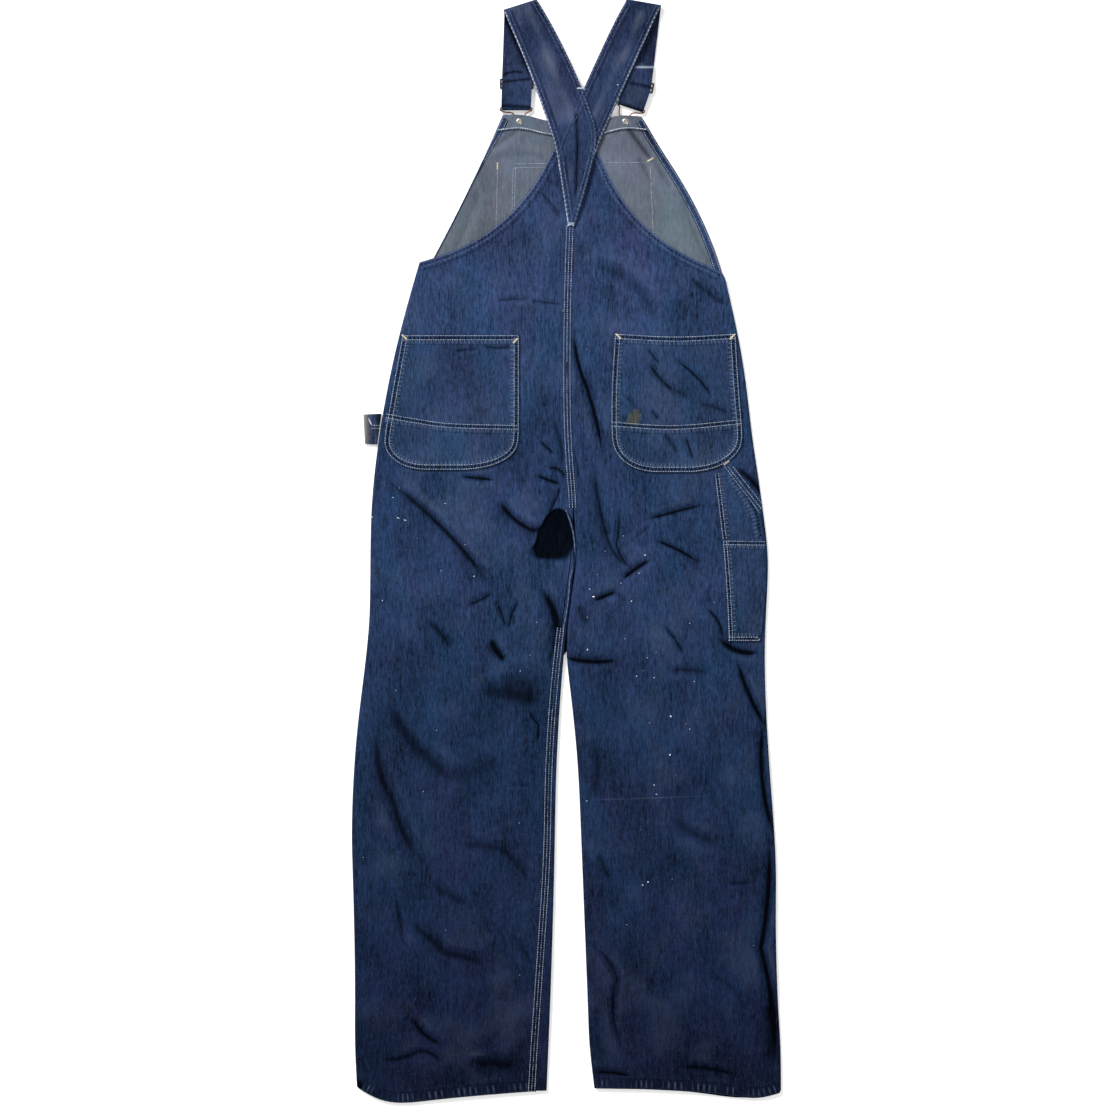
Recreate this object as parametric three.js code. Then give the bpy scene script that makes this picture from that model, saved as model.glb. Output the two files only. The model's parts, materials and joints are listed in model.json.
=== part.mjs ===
// Denim bib overalls laid flat on their front, with the back and the crossed straps uppermost.
// Millimetres. +Y runs from the hems to the shoulders, +X to the right of the back, +Z up.
import * as THREE from 'three';

const { degToRad, lerp, smoothstep } = THREE.MathUtils;

// Driving dimensions.
const denim = 1.2;             // one layer of cloth
const strapCloth = 1.8;        // a strap is two thin layers sewn as one
const seamGap = 0.3;           // left between any two pieces that meet
const patchGap = 0.5;          // left under a patch pocket
const bodyHeight = 6.2;        // upper face of the back panels over the seat and legs
const shoulderHeight = 4.6;    // upper face of the back panels above the waist
const hemDrop = 1.2;           // how much flatter the legs lie at their hems
const edgeRadius = 4.7;        // width of the rolled edge along the sides of a leg
const rowPitch = 36;           // spacing of the rows of facets along a panel
const waist = 342;             // Y of the line where the bib meets the two front panels
const bibBase = 1.5;           // height of the bib's lower face, over its pocket
const hookWire = 2;            // diameter of the wire of a strap hook
const foldHeight = 6.2;        // outer height of the loop at the end of a strap

const frontTop = denim;
const edgeBase = frontTop + seamGap + 0.4;   // lower edge of a rolled side, clear of the front
const lowestBack = frontTop + seamGap + denim + 0.2;

const cloth = (colour, roughness = 0.9) =>
  new THREE.MeshStandardMaterial({ color: colour, roughness, metalness: 0 });
const indigo = cloth(0x2f3f63);
const paleIndigo = cloth(0x66707f);
const loopDenim = cloth(0x5b6478);
const silverMetal = new THREE.MeshStandardMaterial({ color: 0xb9b7b0, roughness: 0.4, metalness: 1 });
const bronzeMetal = new THREE.MeshStandardMaterial({ color: 0x6f5138, roughness: 0.45, metalness: 1 });
const darkMetal = new THREE.MeshStandardMaterial({ color: 0x2c2724, roughness: 0.5, metalness: 1 });

const overalls = new THREE.Group();

function add(name, geometry, material) {
  const mesh = new THREE.Mesh(geometry, material);
  mesh.name = name;
  overalls.add(mesh);
  return mesh;
}

// A wall of cloth: `rows` holds the points of its outer face, and its inner face lies `thickness` behind.
function wall(rows, thickness) {
  const last = rows.length - 1;
  const side = rows[0].length - 1;
  const positions = [];
  const push = (point) => positions.push(point.x, point.y, point.z);
  rows.forEach((row) => row.forEach(push));
  rows.forEach((row, i) => row.forEach((point, j) => {
    const up = rows[Math.min(i + 1, last)][j].clone().sub(rows[Math.max(i - 1, 0)][j]);
    const across = row[Math.min(j + 1, side)].clone().sub(row[Math.max(j - 1, 0)]);
    push(point.clone().addScaledVector(across.cross(up).normalize(), -thickness));
  }));
  const outer = (i, j) => i * (side + 1) + j;
  const inner = (i, j) => rows.length * (side + 1) + outer(i, j);
  const faces = [];
  const quad = (a, b, c, d) => faces.push(a, b, c, a, c, d);
  for (let i = 0; i < last; i += 1) {
    for (let j = 0; j < side; j += 1) {
      quad(outer(i, j), outer(i, j + 1), outer(i + 1, j + 1), outer(i + 1, j));
      quad(inner(i, j), inner(i + 1, j), inner(i + 1, j + 1), inner(i, j + 1));
    }
    quad(outer(i, 0), outer(i + 1, 0), inner(i + 1, 0), inner(i, 0));
    quad(outer(i + 1, side), outer(i, side), inner(i, side), inner(i + 1, side));
  }
  for (let j = 0; j < side; j += 1) {
    quad(outer(0, j + 1), outer(0, j), inner(0, j), inner(0, j + 1));
    quad(outer(last, j), outer(last, j + 1), inner(last, j + 1), inner(last, j));
  }
  const geometry = new THREE.BufferGeometry();
  geometry.setAttribute('position', new THREE.Float32BufferAttribute(positions, 3));
  geometry.setIndex(faces);
  geometry.computeVertexNormals();
  return geometry;
}

const smoothLine = (points) =>
  new THREE.CatmullRomCurve3(points.map(([x, y, z = 0]) => new THREE.Vector3(x, y, z)), false, 'centripetal');

// Rows of plan points over `stations`, which run across a panel from its left edge to its right.
// `places` gives how far along each station its columns stand, and each station has a few rows.
function panelRows(stations, places) {
  const columnsAt = stations.map((station) => {
    const line = smoothLine(station);
    return places(line.getLength()).map((share) => line.getPointAt(share).toArray());
  });
  const columns = columnsAt[0].map((_, j) => smoothLine(columnsAt.map((points) => points[j])));
  const rows = [];
  const spans = stations.length - 1;
  for (let k = 0; k < spans; k += 1) {
    const rise = Math.abs(stations[k + 1][0][1] - stations[k][0][1]);
    const steps = Math.max(1, Math.round(rise / rowPitch));
    for (let s = 0; s < steps; s += 1) {
      rows.push(columns.map((column) => column.getPoint((k + s / steps) / spans)));
    }
  }
  rows.push(columns.map((column) => column.getPoint(1)));
  return rows;
}

const even = (count) => Array.from({ length: count + 1 }, (_, i) => i / count);

// ---- The back, two panels joined by a seam down the middle ----

// The largest folds of the cloth: a line in plan, how far it rises, and how wide it reaches.
const folds = [
  { rise: -2.2, reach: 13, line: [[-237, 92], [-174, 36], [-125, -11], [-105, -42]] },
  { rise: 2.4, reach: 15, line: [[-185, 72], [-145, 38], [-98, -8]] },
  { rise: -3.2, reach: 15, line: [[-34, 26], [-12, 12]] },
  { rise: 1.8, reach: 12, line: [[-28, 66], [-46, 50], [-60, 24]] },
  { rise: -2.4, reach: 9, line: [[16, 250], [31, 199], [43, 145], [42, 87], [48, 22], [68, -11], [86, -24]] },
  { rise: 2, reach: 13, line: [[64, 60], [70, 22], [92, 4]] },
  { rise: -2.6, reach: 11, line: [[-112, -181], [-42, -182]] },
  { rise: 2.2, reach: 13, line: [[-110, -158], [-45, -158]] },
  { rise: -1.8, reach: 19, line: [[-238, -200], [-192, -272], [-164, -300]] },
  { rise: 1.8, reach: 20, line: [[-205, -205], [-165, -262]] },
  { rise: -1.8, reach: 16, line: [[40, -60], [72, -96], [104, -140]] },
];

function distanceTo(line, x, y) {
  let nearest = Infinity;
  for (let i = 1; i < line.length; i += 1) {
    const [ax, ay] = line[i - 1];
    const dx = line[i][0] - ax;
    const dy = line[i][1] - ay;
    const share = Math.min(1, Math.max(0, ((x - ax) * dx + (y - ay) * dy) / (dx * dx + dy * dy)));
    nearest = Math.min(nearest, Math.hypot(x - ax - share * dx, y - ay - share * dy));
  }
  return nearest;
}

// Height of the upper face of the back panels.
function backHeight(x, y) {
  const flat = lerp(bodyHeight, shoulderHeight, smoothstep(y, waist - 20, waist + 70))
    - hemDrop * (1 - smoothstep(y, -731, -640));
  const folded = folds.reduce(
    (sum, fold) => sum + fold.rise * Math.exp(-((distanceTo(fold.line, x, y) / fold.reach) ** 2)), 0);
  return Math.max(lowestBack, flat + folded);
}

// An edge runs through a few points, with an arc between each two that bows by a given amount to the right
// of the way. `at` gives its X at a height, and `along` its point at a share of the way.
function edgeOf(...chain) {
  const spans = chain.slice(2).flatMap((_, i) => (i % 2 ? [] : [[chain[i], chain[i + 1], chain[i + 2]]]));
  return {
    at(y) {
      const [from, bow, to] = spans.find((span) => y <= span[2][1]) ?? spans[spans.length - 1];
      const t = (y - from[1]) / (to[1] - from[1]);
      return lerp(from[0], to[0], t) + 4 * bow * t * (1 - t);
    },
    along(share) {
      const k = Math.min(spans.length - 1, Math.floor(share * spans.length));
      const [from, bow, to] = spans[k];
      const t = share * spans.length - k;
      const [dx, dy] = [to[0] - from[0], to[1] - from[1]];
      const off = (4 * bow * t * (1 - t)) / Math.hypot(dx, dy);
      return [lerp(from[0], to[0], t) + off * dy, lerp(from[1], to[1], t) - off * dx];
    },
  };
}
const points = (edge, count) => even(count).map((share) => edge.along(share));

const legFoot = -660;          // Y of the first row above the hems
const crotch = 50;             // Y where the legs part
const armpit = 350;            // Y where the side seams end and the armholes begin
const yokeFoot = 404;          // Y on the back seam of the row that starts the armholes
const tip = 529;               // Y of the point of the back

// The outer side of each leg, up to the armhole, and the back seam between the panels.
const leftSide = edgeOf([-282, -690], 2, [-286, -390], -6, [-263, -120], 0, [-260, 60], -8, [-205, 352]);
const rightSide = edgeOf(
  [284, -690], -4, [276, -400], -2, [260, -150], -1, [266, -20], 2, [242, 160], 5, [209, 355]);
const backSeam = edgeOf([9, 20], 0, [0, 150], -3, [5, 470], 1, [-7, tip]);
const seamPoint = edgeOf([6, 470], -5, [27, tip]);
const leftInseam = edgeOf([-47, -690], 0, [-27, -400], -10, [9, 20]);
const rightInseam = edgeOf([30, -690], 0, [16, -340], 3, [-3, -140], -3, [15, 8]);
const leftArmhole = edgeOf([-196, 382], 29, [-20, 528]);
const rightArmhole = edgeOf([204, 370], -28, [39, 528]);
const leftHem = edgeOf([-279, -708], 6, [-222, -730], -1, [-48, -714]);
const rightHem = edgeOf([35, -710], -4, [265, -725], 3, [282, -712]);

const rowsBetween = (from, to, count) => even(count).slice(1).map((share) => lerp(from, to, share));
const leftLegs = [legFoot, ...rowsBetween(legFoot, crotch, 10)];
const rightLegs = [legFoot, ...rowsBetween(legFoot, crotch, 12)];
const armholeRows = 6;

// Stations up the left back panel, from the hem to the tip under the straps.
const leftBack = [
  points(leftHem, 6),
  ...leftLegs.map((y) => [[leftSide.at(y), y], [y < 20 ? leftInseam.at(y) : backSeam.at(y), y]]),
  ...rowsBetween(crotch, armpit, 5).map((y) => [[leftSide.at(y), y], [backSeam.at(y), y]]),
  ...points(leftArmhole, armholeRows).map((outer, i) => {
    const y = lerp(yokeFoot, tip, i / armholeRows);
    return [outer, [backSeam.at(y), y]];
  }),
];

// Stations up the right back panel, with its inner leg edge and then the back seam on the left.
const rightBack = [
  points(rightHem, 6),
  ...rightLegs.map((y) => [[y < 20 ? rightInseam.at(y) : backSeam.at(y) + 0.7, y], [rightSide.at(y), y]]),
  ...rowsBetween(crotch, armpit, 6).map((y) => [[backSeam.at(y) + 0.7, y], [rightSide.at(y), y]]),
  ...points(rightArmhole, armholeRows).map((outer, i) => {
    const y = lerp(yokeFoot, tip, i / armholeRows);
    return [[y < 470 ? backSeam.at(y) + 0.7 : seamPoint.at(y), y], outer];
  }),
];

const leftCrotch = 11;         // the station of each list that runs through the crotch
const rightCrotch = 13;
const rollAngles = [0, 30, 60].map(degToRad);
const sideOpen = (y) => smoothstep(y, waist - 20, waist + 30);   // 0 at a side seam, 1 at an armhole
const legOpen = (y) => smoothstep(y, -10, 50);                   // 0 at a leg's inner edge, 1 at the back seam

// A back panel's rows. A rolled edge turns down to the front panel, and a plain edge lies level.
function backPanel(stations, flatColumns, leftLevel, rightLevel) {
  const bend = rollAngles.map((angle) => 1 - Math.cos(angle));
  const drop = rollAngles.map((angle) => 1 - Math.sin(angle));
  const places = (width) => {
    const band = Math.min(edgeRadius, 0.12 * width) / width;
    const from = leftLevel ? band : 0;
    const to = rightLevel ? 1 - band : 1;
    return [
      ...(leftLevel ? bend.map((share) => share * band) : []),
      ...even(flatColumns).map((share) => lerp(from, to, share)),
      ...(rightLevel ? bend.map((share) => 1 - share * band).reverse() : []),
    ];
  };
  return panelRows(stations, places).map((row) => row.map((point, j) => {
    const top = backHeight(point.x, point.y);
    const fromRight = row.length - 1 - j;
    let fall = 0;
    if (leftLevel && j < drop.length) fall = drop[j] * (1 - leftLevel(point.y));
    if (rightLevel && fromRight < drop.length) fall = drop[fromRight] * (1 - rightLevel(point.y));
    return point.setZ(top - fall * (top - edgeBase));
  }));
}

// The two panels stop short of each other by the seam's gap, from the crotch up.
const leftSeamed = leftBack.map((station, i) => {
  if (i <= leftCrotch) return station;
  const [outer, [x, y]] = station;
  return [outer, [x - seamGap, y]];
});
const rightSeamed = rightBack.map((station, i) => {
  if (i < rightCrotch) return station;
  const [[x, y], outer] = station;
  return [[x + seamGap, y], outer];
});
const leftBackRows = backPanel(leftSeamed, 9, sideOpen, null);
const rightBackRows = backPanel(rightSeamed, 8, legOpen, sideOpen);
add('back_left', wall(leftBackRows, denim), indigo);
add('back_right', wall(rightBackRows, denim), indigo);

// ---- The front, two panels under the back, from the waist to the hems ----

// The left leg's inner edge. Above the crotch it is the middle of the front.
const innerEdge = edgeOf([-27, -690], 1, [-17, -380], -7, [13, 15], -1, [-1, 105], 0, [-1, waist]);
const innerRows = [...leftLegs, ...rowsBetween(crotch, waist + 8, 5)];
const leftInner = [[-28, -713], ...innerRows.map((y) => [innerEdge.at(y), y])];
const edgeInset = 0.8;         // a front panel stops this far inside the rolled edge over it
const wrapTurn = bodyHeight / 2;

// The left front panel lies on the floor, and on the leg it rolls over the inner edge to the inseam on top.
function leftFrontRows() {
  const wrapAngles = [-60, -30, 0, 30, 60, 90].map(degToRad);
  const flatColumns = 5;
  const stations = leftInner.map((inner, i) => {
    const station = leftBack[i];
    const [x, y] = station[0];
    const hemInset = i === 0 ? 2 : 0;
    const middle = station.slice(1, -1).map(([px, py]) => [px, py + hemInset]);
    return [[x + edgeInset, y + hemInset], ...middle, inner];
  });
  const seam = leftInner.map((_, i) => leftBack[i][leftBack[i].length - 1]);
  const spaced = 1.3;          // spacing of the rolled columns where they lie flat in the seat
  const rolled = wrapAngles.length + 1;
  const places = (width) => [
    ...even(flatColumns).map((share) => share * (1 - (rolled * spaced) / width)),
    ...Array.from({ length: rolled }, (_, i) => 1 - ((rolled - 1 - i) * spaced) / width),
  ];
  const plan = panelRows(stations, places);
  const seamPoints = panelRows(seam.map((point, i) => [stations[i][0], point]), () => [0, 1]);
  return plan.map((row, i) => {
    const edge = row[row.length - 1];
    const inseam = seamPoints[i][1];
    const lift = 1 - smoothstep(edge.y, 12, 58);
    const topEnd = inseam.x + 4 * seamGap;
    const turn = Math.max(0.8, Math.min(wrapTurn, 0.8 * (edge.x - topEnd)));
    return row.map((point, j) => {
      const k = j - flatColumns - 1;
      if (k < 0) return point.setZ(0);
      const top = backHeight(point.x, point.y);
      const atEnd = k === wrapAngles.length;
      const angle = atEnd ? Math.PI / 2 : wrapAngles[k];
      const wrapX = atEnd ? topEnd : edge.x - turn * (1 - Math.cos(angle));
      point.x = lerp(point.x, wrapX, lift);
      point.y = lerp(point.y, edge.y, lift);
      return point.setZ(lift * (top / 2) * (1 + Math.sin(angle)));
    });
  });
}

// Rows whose outer face points down: the same rows taken from right to left.
const faceDown = (rows) => rows.map((row) => [...row].reverse());

add('front_left', wall(faceDown(leftFrontRows()), denim), indigo);

// The right front panel is flat, a little longer than the back at the outer side of its hem.
const rightFront = rightBack.filter(([[, y]]) => y < waist - edgeInset).map((station, i) => {
  if (i === 0) return points(edgeOf([36, -708], -5, [260, -729], 3, [279, -715]), 6);
  const [left, right] = station;
  return [[left[0] + (i < rightCrotch ? edgeInset : seamGap), left[1]], [right[0] - edgeInset, right[1]]];
});
rightFront.push([[seamGap, waist + 8], [210, waist + 8]]);
const flatDown = (stations, columns, height = 0) =>
  faceDown(panelRows(stations, () => even(columns)).map((row) => row.map((point) => point.setZ(height))));
add('front_right', wall(flatDown(rightFront, 5), denim), indigo);

// ---- The bib, with its inner face up, raised at the top corners where it rests on the strap buttons ----

const buttons = { left: [-64, 567.6], right: [76, 567.6] };
const bumpHeight = 3.1;

const facingDepth = 19;
const bibLeft = edgeOf([-203, waist], 4, [-86, 577]);
const bibRight = edgeOf([211, waist], 11, [125, 529], 0, [98, 574]);
const bibTop = (x) => 568 + 9 * smoothstep(Math.abs(x - 7), 25, 70);
const bibStations = [
  ...[waist, ...rowsBetween(waist, 529, 8)].map((y) => [[bibLeft.at(y), y], [bibRight.at(y), y]]),
  ...[facingDepth, facingDepth / 2, 0].map((depth) => {
    const [leftEnd, rightEnd] = [577 - 1.2 * depth, 574 - depth];
    return even(6).map((share) => {
      const x = lerp(bibLeft.at(leftEnd), bibRight.at(rightEnd), share);
      if (share === 0) return [x, leftEnd];
      return [x, share === 1 ? rightEnd : bibTop(x) - depth];
    });
  }),
];

function bibHeight(x, y) {
  const bump = ([bx, by]) => 1 - smoothstep(Math.hypot(x - bx, y - by), 13, 26);
  return bibBase + denim + bumpHeight * Math.max(bump(buttons.left), bump(buttons.right));
}

const bibRows = panelRows(bibStations, () => even(14))
  .map((row) => row.map((point) => point.setZ(bibHeight(point.x, point.y))));
add('bib', wall(bibRows, denim), paleIndigo);

// The bib's top is turned in once: a facing over its last three rows.
const raised = (rows, rise) =>
  rows.map((row) => row.map((point) => point.clone().setZ(point.z + rise)));
add('bib_facing', wall(raised(bibRows.slice(-3), seamGap + denim), denim), paleIndigo);

const bibPocket = [[[-97, 351], [116, 351]], [[-93, 512], [112, 514]]];
add('bib_pocket', wall(flatDown(bibPocket, 4), denim), indigo);

// ---- Patch pockets, each laid on the facets of the panel under it ----

function facetHeight(rows, x, y) {
  const point = new THREE.Vector3(x, y, 0);
  const weights = new THREE.Vector3();
  for (let i = 0; i + 1 < rows.length; i += 1) {
    for (let j = 0; j + 1 < rows[i].length; j += 1) {
      const corners = [rows[i][j], rows[i][j + 1], rows[i + 1][j + 1], rows[i + 1][j]];
      for (const [a, b, c] of [[0, 1, 2], [0, 2, 3]]) {
        const facet = [corners[a], corners[b], corners[c]];
        const flat = facet.map((corner) => new THREE.Vector3(corner.x, corner.y, 0));
        if (new THREE.Triangle(...flat).getArea() < 0.01) continue;
        THREE.Triangle.getBarycoord(point, ...flat, weights);
        if (Math.min(weights.x, weights.y, weights.z) < -1e-6) continue;
        return facet[0].z * weights.x + facet[1].z * weights.y + facet[2].z * weights.z;
      }
    }
  }
  throw new Error(`no facet under ${x}, ${y}`);
}

function patch(name, stations, columns, under) {
  const lines = stations.map(smoothLine);
  const rows = lines.map((line) => even(columns).map((share) => {
    const point = line.getPointAt(share);
    return point.setZ(facetHeight(under, point.x, point.y) + patchGap + denim);
  }));
  add(name, wall(rows, denim), indigo);
}

// Stations of a pocket whose bottom corners are quarter ellipses, with the reach of each one given.
function roundPocket(left, right, foot, cornerTop, top, leftReach, rightReach, sag) {
  const corners = [90, 65, 40, 18].map(degToRad).map((angle) => {
    const y = cornerTop - (cornerTop - foot) * Math.sin(angle);
    const inward = 1 - Math.cos(angle);
    return [[left.at(cornerTop) + leftReach * inward, y], [right.at(cornerTop) - rightReach * inward, y]];
  });
  const sides = [cornerTop, ...rowsBetween(cornerTop, top, 4)].map((y) => [[left.at(y), y], [right.at(y), y]]);
  const [mouthLeft, mouthRight] = sides.pop();
  const middle = [(mouthLeft[0] + mouthRight[0]) / 2, top - sag];
  return [...corners, ...sides, [mouthLeft, middle, mouthRight]];
}
patch('back_pocket_left', roundPocket(
  edgeOf([-244, 146], 0, [-219, 286]), edgeOf([-64, 146], 0, [-64, 286]), 107, 146, 286, 49, 67, 0),
7, leftBackRows);
patch('back_pocket_right', roundPocket(
  edgeOf([57, 150], -2, [62, 288]), edgeOf([232, 150], -1, [222, 288]), 104, 150, 288, 52, 64, 4),
7, rightBackRows);

// The tool pocket on the right leg is in two stages: a slanted opening, and a deep one below it.
const shelf = 13;
const stages = (left, right, from, to, count) =>
  [from, ...rowsBetween(from, to, count)].map((y) => [[left.at(y), y], [right.at(y), y]]);
const toolSide = edgeOf([212, -119], 1, [204, shelf], 0, [193, 105]);
patch('tool_pocket_upper', stages(toolSide, edgeOf([260, shelf], 0, [253, 57], 0, [218, 105]), shelf + 0.2, 105, 5),
  4, rightBackRows);
patch('tool_pocket_lower', stages(toolSide, edgeOf([254, -119], 4, [260, shelf]), -119, shelf - 0.4, 5),
  4, rightBackRows);

// ---- Bands: a strap or loop is one wall that runs over its folds ----

// Sections around half a turn, from height `start` to height `end`, bulging towards `out`.
function turn([left, right], [outX, outY], start, end) {
  const middle = (start + end) / 2;
  const radius = Math.abs(start - end) / 2;
  return [0, 36, 72, 108, 144, 180].map(degToRad).map((angle) => {
    const shift = radius * Math.sin(angle);
    const height = middle + ((start - end) / 2) * Math.cos(angle);
    return [left, right].map(([x, y]) => [x + outX * shift, y + outY * shift, height]);
  });
}

function band(sections, columns) {
  return sections.map(([left, right]) => {
    const from = new THREE.Vector3(...left);
    const to = new THREE.Vector3(...right);
    return even(columns).map((share) => from.clone().lerp(to, share));
  });
}

// Each strap runs up from the point of the back, folds over at the shoulder, comes down to its hook's bar,
// turns round it and ends on itself above the slide.
// `fold`, `between` and `bar` are the ends of its width at the shoulder, above its loop and at its hook.
function strap(leftEdge, rightEdge, [low, leftTop, rightTop], leftLevel, rightLevel, fold, lean, between, bar, hang) {
  const upper = even(13).map((share) => {
    const [y, across] = [lerp(low, leftTop, share), lerp(low, rightTop, share)];
    return [[leftEdge.at(y), y, leftLevel(y)], [rightEdge.at(across), across, rightLevel(across)]];
  });
  const mix = (from, to, share, z) => from.map(([x, y], i) => [lerp(x, to[i][0], share), lerp(y, to[i][1], share), z]);
  const gap = Math.abs(between[0][1] - bar[0][1]);
  const above = Math.abs(fold[0][1] - between[0][1]);
  const tail = [9, 22, 38, 48, 56].map((rise) => {
    const z = foldHeight - 2.3 * smoothstep(rise, 38, 56);
    return rise < gap ? mix(bar, between, rise / gap, z) : mix(between, fold, (rise - gap) / above, z);
  });
  return [
    ...upper,
    ...turn(fold, lean, 7, 0),
    mix(fold, between, 0.4, 0), mix(fold, between, 0.75, 0), mix(fold, between, 1, 0),
    ...turn(bar, hang, 0, foldHeight),
    ...tail,
  ];
}
const leftBar = [[-88, 586], [-49, 586]];
const rightBar = [[67, 594], [100, 583]];
const leftLevel = (y) => 6.8 + 2.5 * smoothstep(y, 424, 456) - 1.7 * smoothstep(y, 615, 725);
const leftStrap = strap(
  edgeOf([0, 429], 0, [-16, 533], 3, [-80, 702]), edgeOf([9, 429], 2, [41, 550], 5, [-30, 711]),
  [429, 702, 711], leftLevel, leftLevel,
  [[-84, 713], [-40, 727]], [-0.3, 0.95], [[-87, 625], [-47, 625]], leftBar, [0, -1]);
const rightStrap = strap(
  edgeOf([-2, 451], 0, [-15, 526], -2, [65, 706]), edgeOf([14, 451], 1, [39, 535], 0, [116, 706]),
  [451, 706, 706], (y) => 6.7 + 1.1 * smoothstep(y, 610, 680),
  (y) => 6.7 + 2 * smoothstep(y, 525, 620) - smoothstep(y, 640, 715),
  [[77, 727], [123, 719]], [0.17, 0.98], [[70, 617], [110, 610]], rightBar, [-0.316, -0.948]);
add('strap_left', wall(band(leftStrap, 3), strapCloth), indigo);
add('strap_right', wall(band(rightStrap, 3), strapCloth), indigo);

// The hammer loop stands out of the left side seam, folded in two.
const loopTop = 3.2;
const hammerLoop = [
  [[-252, 141.5, loopTop], [-246.5, 182, loopTop]],
  [[-257, 141, loopTop], [-259, 181.5, loopTop]],
  ...turn([[-267, 142], [-269, 181]], [-1, 0], loopTop, 0),
  [[-257, 141, 0], [-259, 181.5, 0]],
  [[-252.2, 141.5, 0], [-247, 182, 0]],
];
add('hammer_loop', wall(band(hammerLoop, 3), denim), loopDenim);

// ---- Fittings: each strap has a slide and a wire hook, which is over a button on the front of the bib ----

const layerTop = strapCloth + seamGap;   // above the strap's lower layer
const slideSize = [45, 14];
const slideRail = 2.4;

function slide(name, centre, tilt) {
  const [width, height] = slideSize;
  const box = (x0, y0, x1, y1) => [[x0, y0], [x1, y0], [x1, y1], [x0, y1]]
    .map(([x, y]) => new THREE.Vector2(x, y));
  const corner = 2;
  const plate = new THREE.Shape();
  plate.absarc(width / 2 - corner, height / 2 - corner, corner, 0, Math.PI / 2);
  plate.absarc(-width / 2 + corner, height / 2 - corner, corner, Math.PI / 2, Math.PI);
  plate.absarc(-width / 2 + corner, -height / 2 + corner, corner, Math.PI, 1.5 * Math.PI);
  plate.absarc(width / 2 - corner, -height / 2 + corner, corner, 1.5 * Math.PI, 2 * Math.PI);
  const reach = width / 2 - slideRail;
  for (const side of [-1, 1]) {
    const [low, high] = [slideRail / 2, height / 2 - slideRail].map((y) => side * y);
    plate.holes.push(new THREE.Path(box(-reach, Math.min(low, high), reach, Math.max(low, high))));
  }
  const geometry = new THREE.ExtrudeGeometry(plate, { depth: hookWire, bevelEnabled: false, curveSegments: 3 });
  const mesh = add(name, geometry, darkMetal);
  mesh.position.set(...centre, layerTop);
  mesh.rotation.z = degToRad(tilt);
}
slide('slide_left', [-67.5, 618], 0);
slide('slide_right', [91.5, 616.5], -12);

// A hook's wire runs along the bar in the strap's loop, down past both ends of it, and round the button's neck.
function hook(name, button, barLeft, barRight) {
  const left = new THREE.Vector2(...barLeft);
  const right = new THREE.Vector2(...barRight);
  const along = right.clone().sub(left).normalize();
  const down = new THREE.Vector2(along.y, -along.x);
  const from = (point, run, fall) => point.clone().addScaledVector(along, run).addScaledVector(down, fall);
  const round = (x, y) => new THREE.Vector2(button[0] + x, button[1] + y);
  const path = [
    from(left, -1.4, 0), from(right, 1.4, 0), from(right, 3.2, 2.2), from(right, 1.6, 5.4),
    round(8, 10.8), round(5, 5), round(4.8, -1), round(0, -6), round(-4.8, -1), round(-5, 5), round(-8, 10.8),
    from(left, -1.6, 5.4), from(left, -3.2, 2.2),
  ].map((point) => new THREE.Vector3(point.x, point.y, layerTop + hookWire / 2));
  const curve = new THREE.CatmullRomCurve3(path, true, 'centripetal');
  add(name, new THREE.TubeGeometry(curve, 52, hookWire / 2, 5, true), bronzeMetal);
}
hook('hook_left', buttons.left, ...leftBar);
hook('hook_right', buttons.right, ...rightBar);

// Each button has a broad head under the hook and a neck up to the cloth, and its tack shows on the facing.
const buttonProfile = [[0, 0], [7.6, 0], [8.5, 0.7], [8.2, 1.6], [3, 1.7], [3, 4.2], [0, 4.2]];
const tackProfile = [[0, 0], [4.1, 0], [4.2, 0.4], [3.5, 1], [1.4, 1.2], [0, 1.05]];
const tackBase = bibBase + denim + bumpHeight + seamGap + denim + seamGap;
for (const [side, place] of Object.entries(buttons)) {
  for (const [name, profile, base] of [['bib_button', buttonProfile, 0], ['button_tack', tackProfile, tackBase]]) {
    const points = profile.map(([radius, height]) => new THREE.Vector2(radius, height));
    const geometry = new THREE.LatheGeometry(points, 14).rotateX(Math.PI / 2);
    add(`${name}_${side}`, geometry, silverMetal).position.set(...place, base);
  }
}

export default overalls;
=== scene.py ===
"""Denim bib overalls, worn and flecked with paint, laid flat on their front with the back uppermost."""
import json
import math

import bmesh
import bpy
import numpy as np
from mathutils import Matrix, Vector
from mathutils.bvhtree import BVHTree

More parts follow.
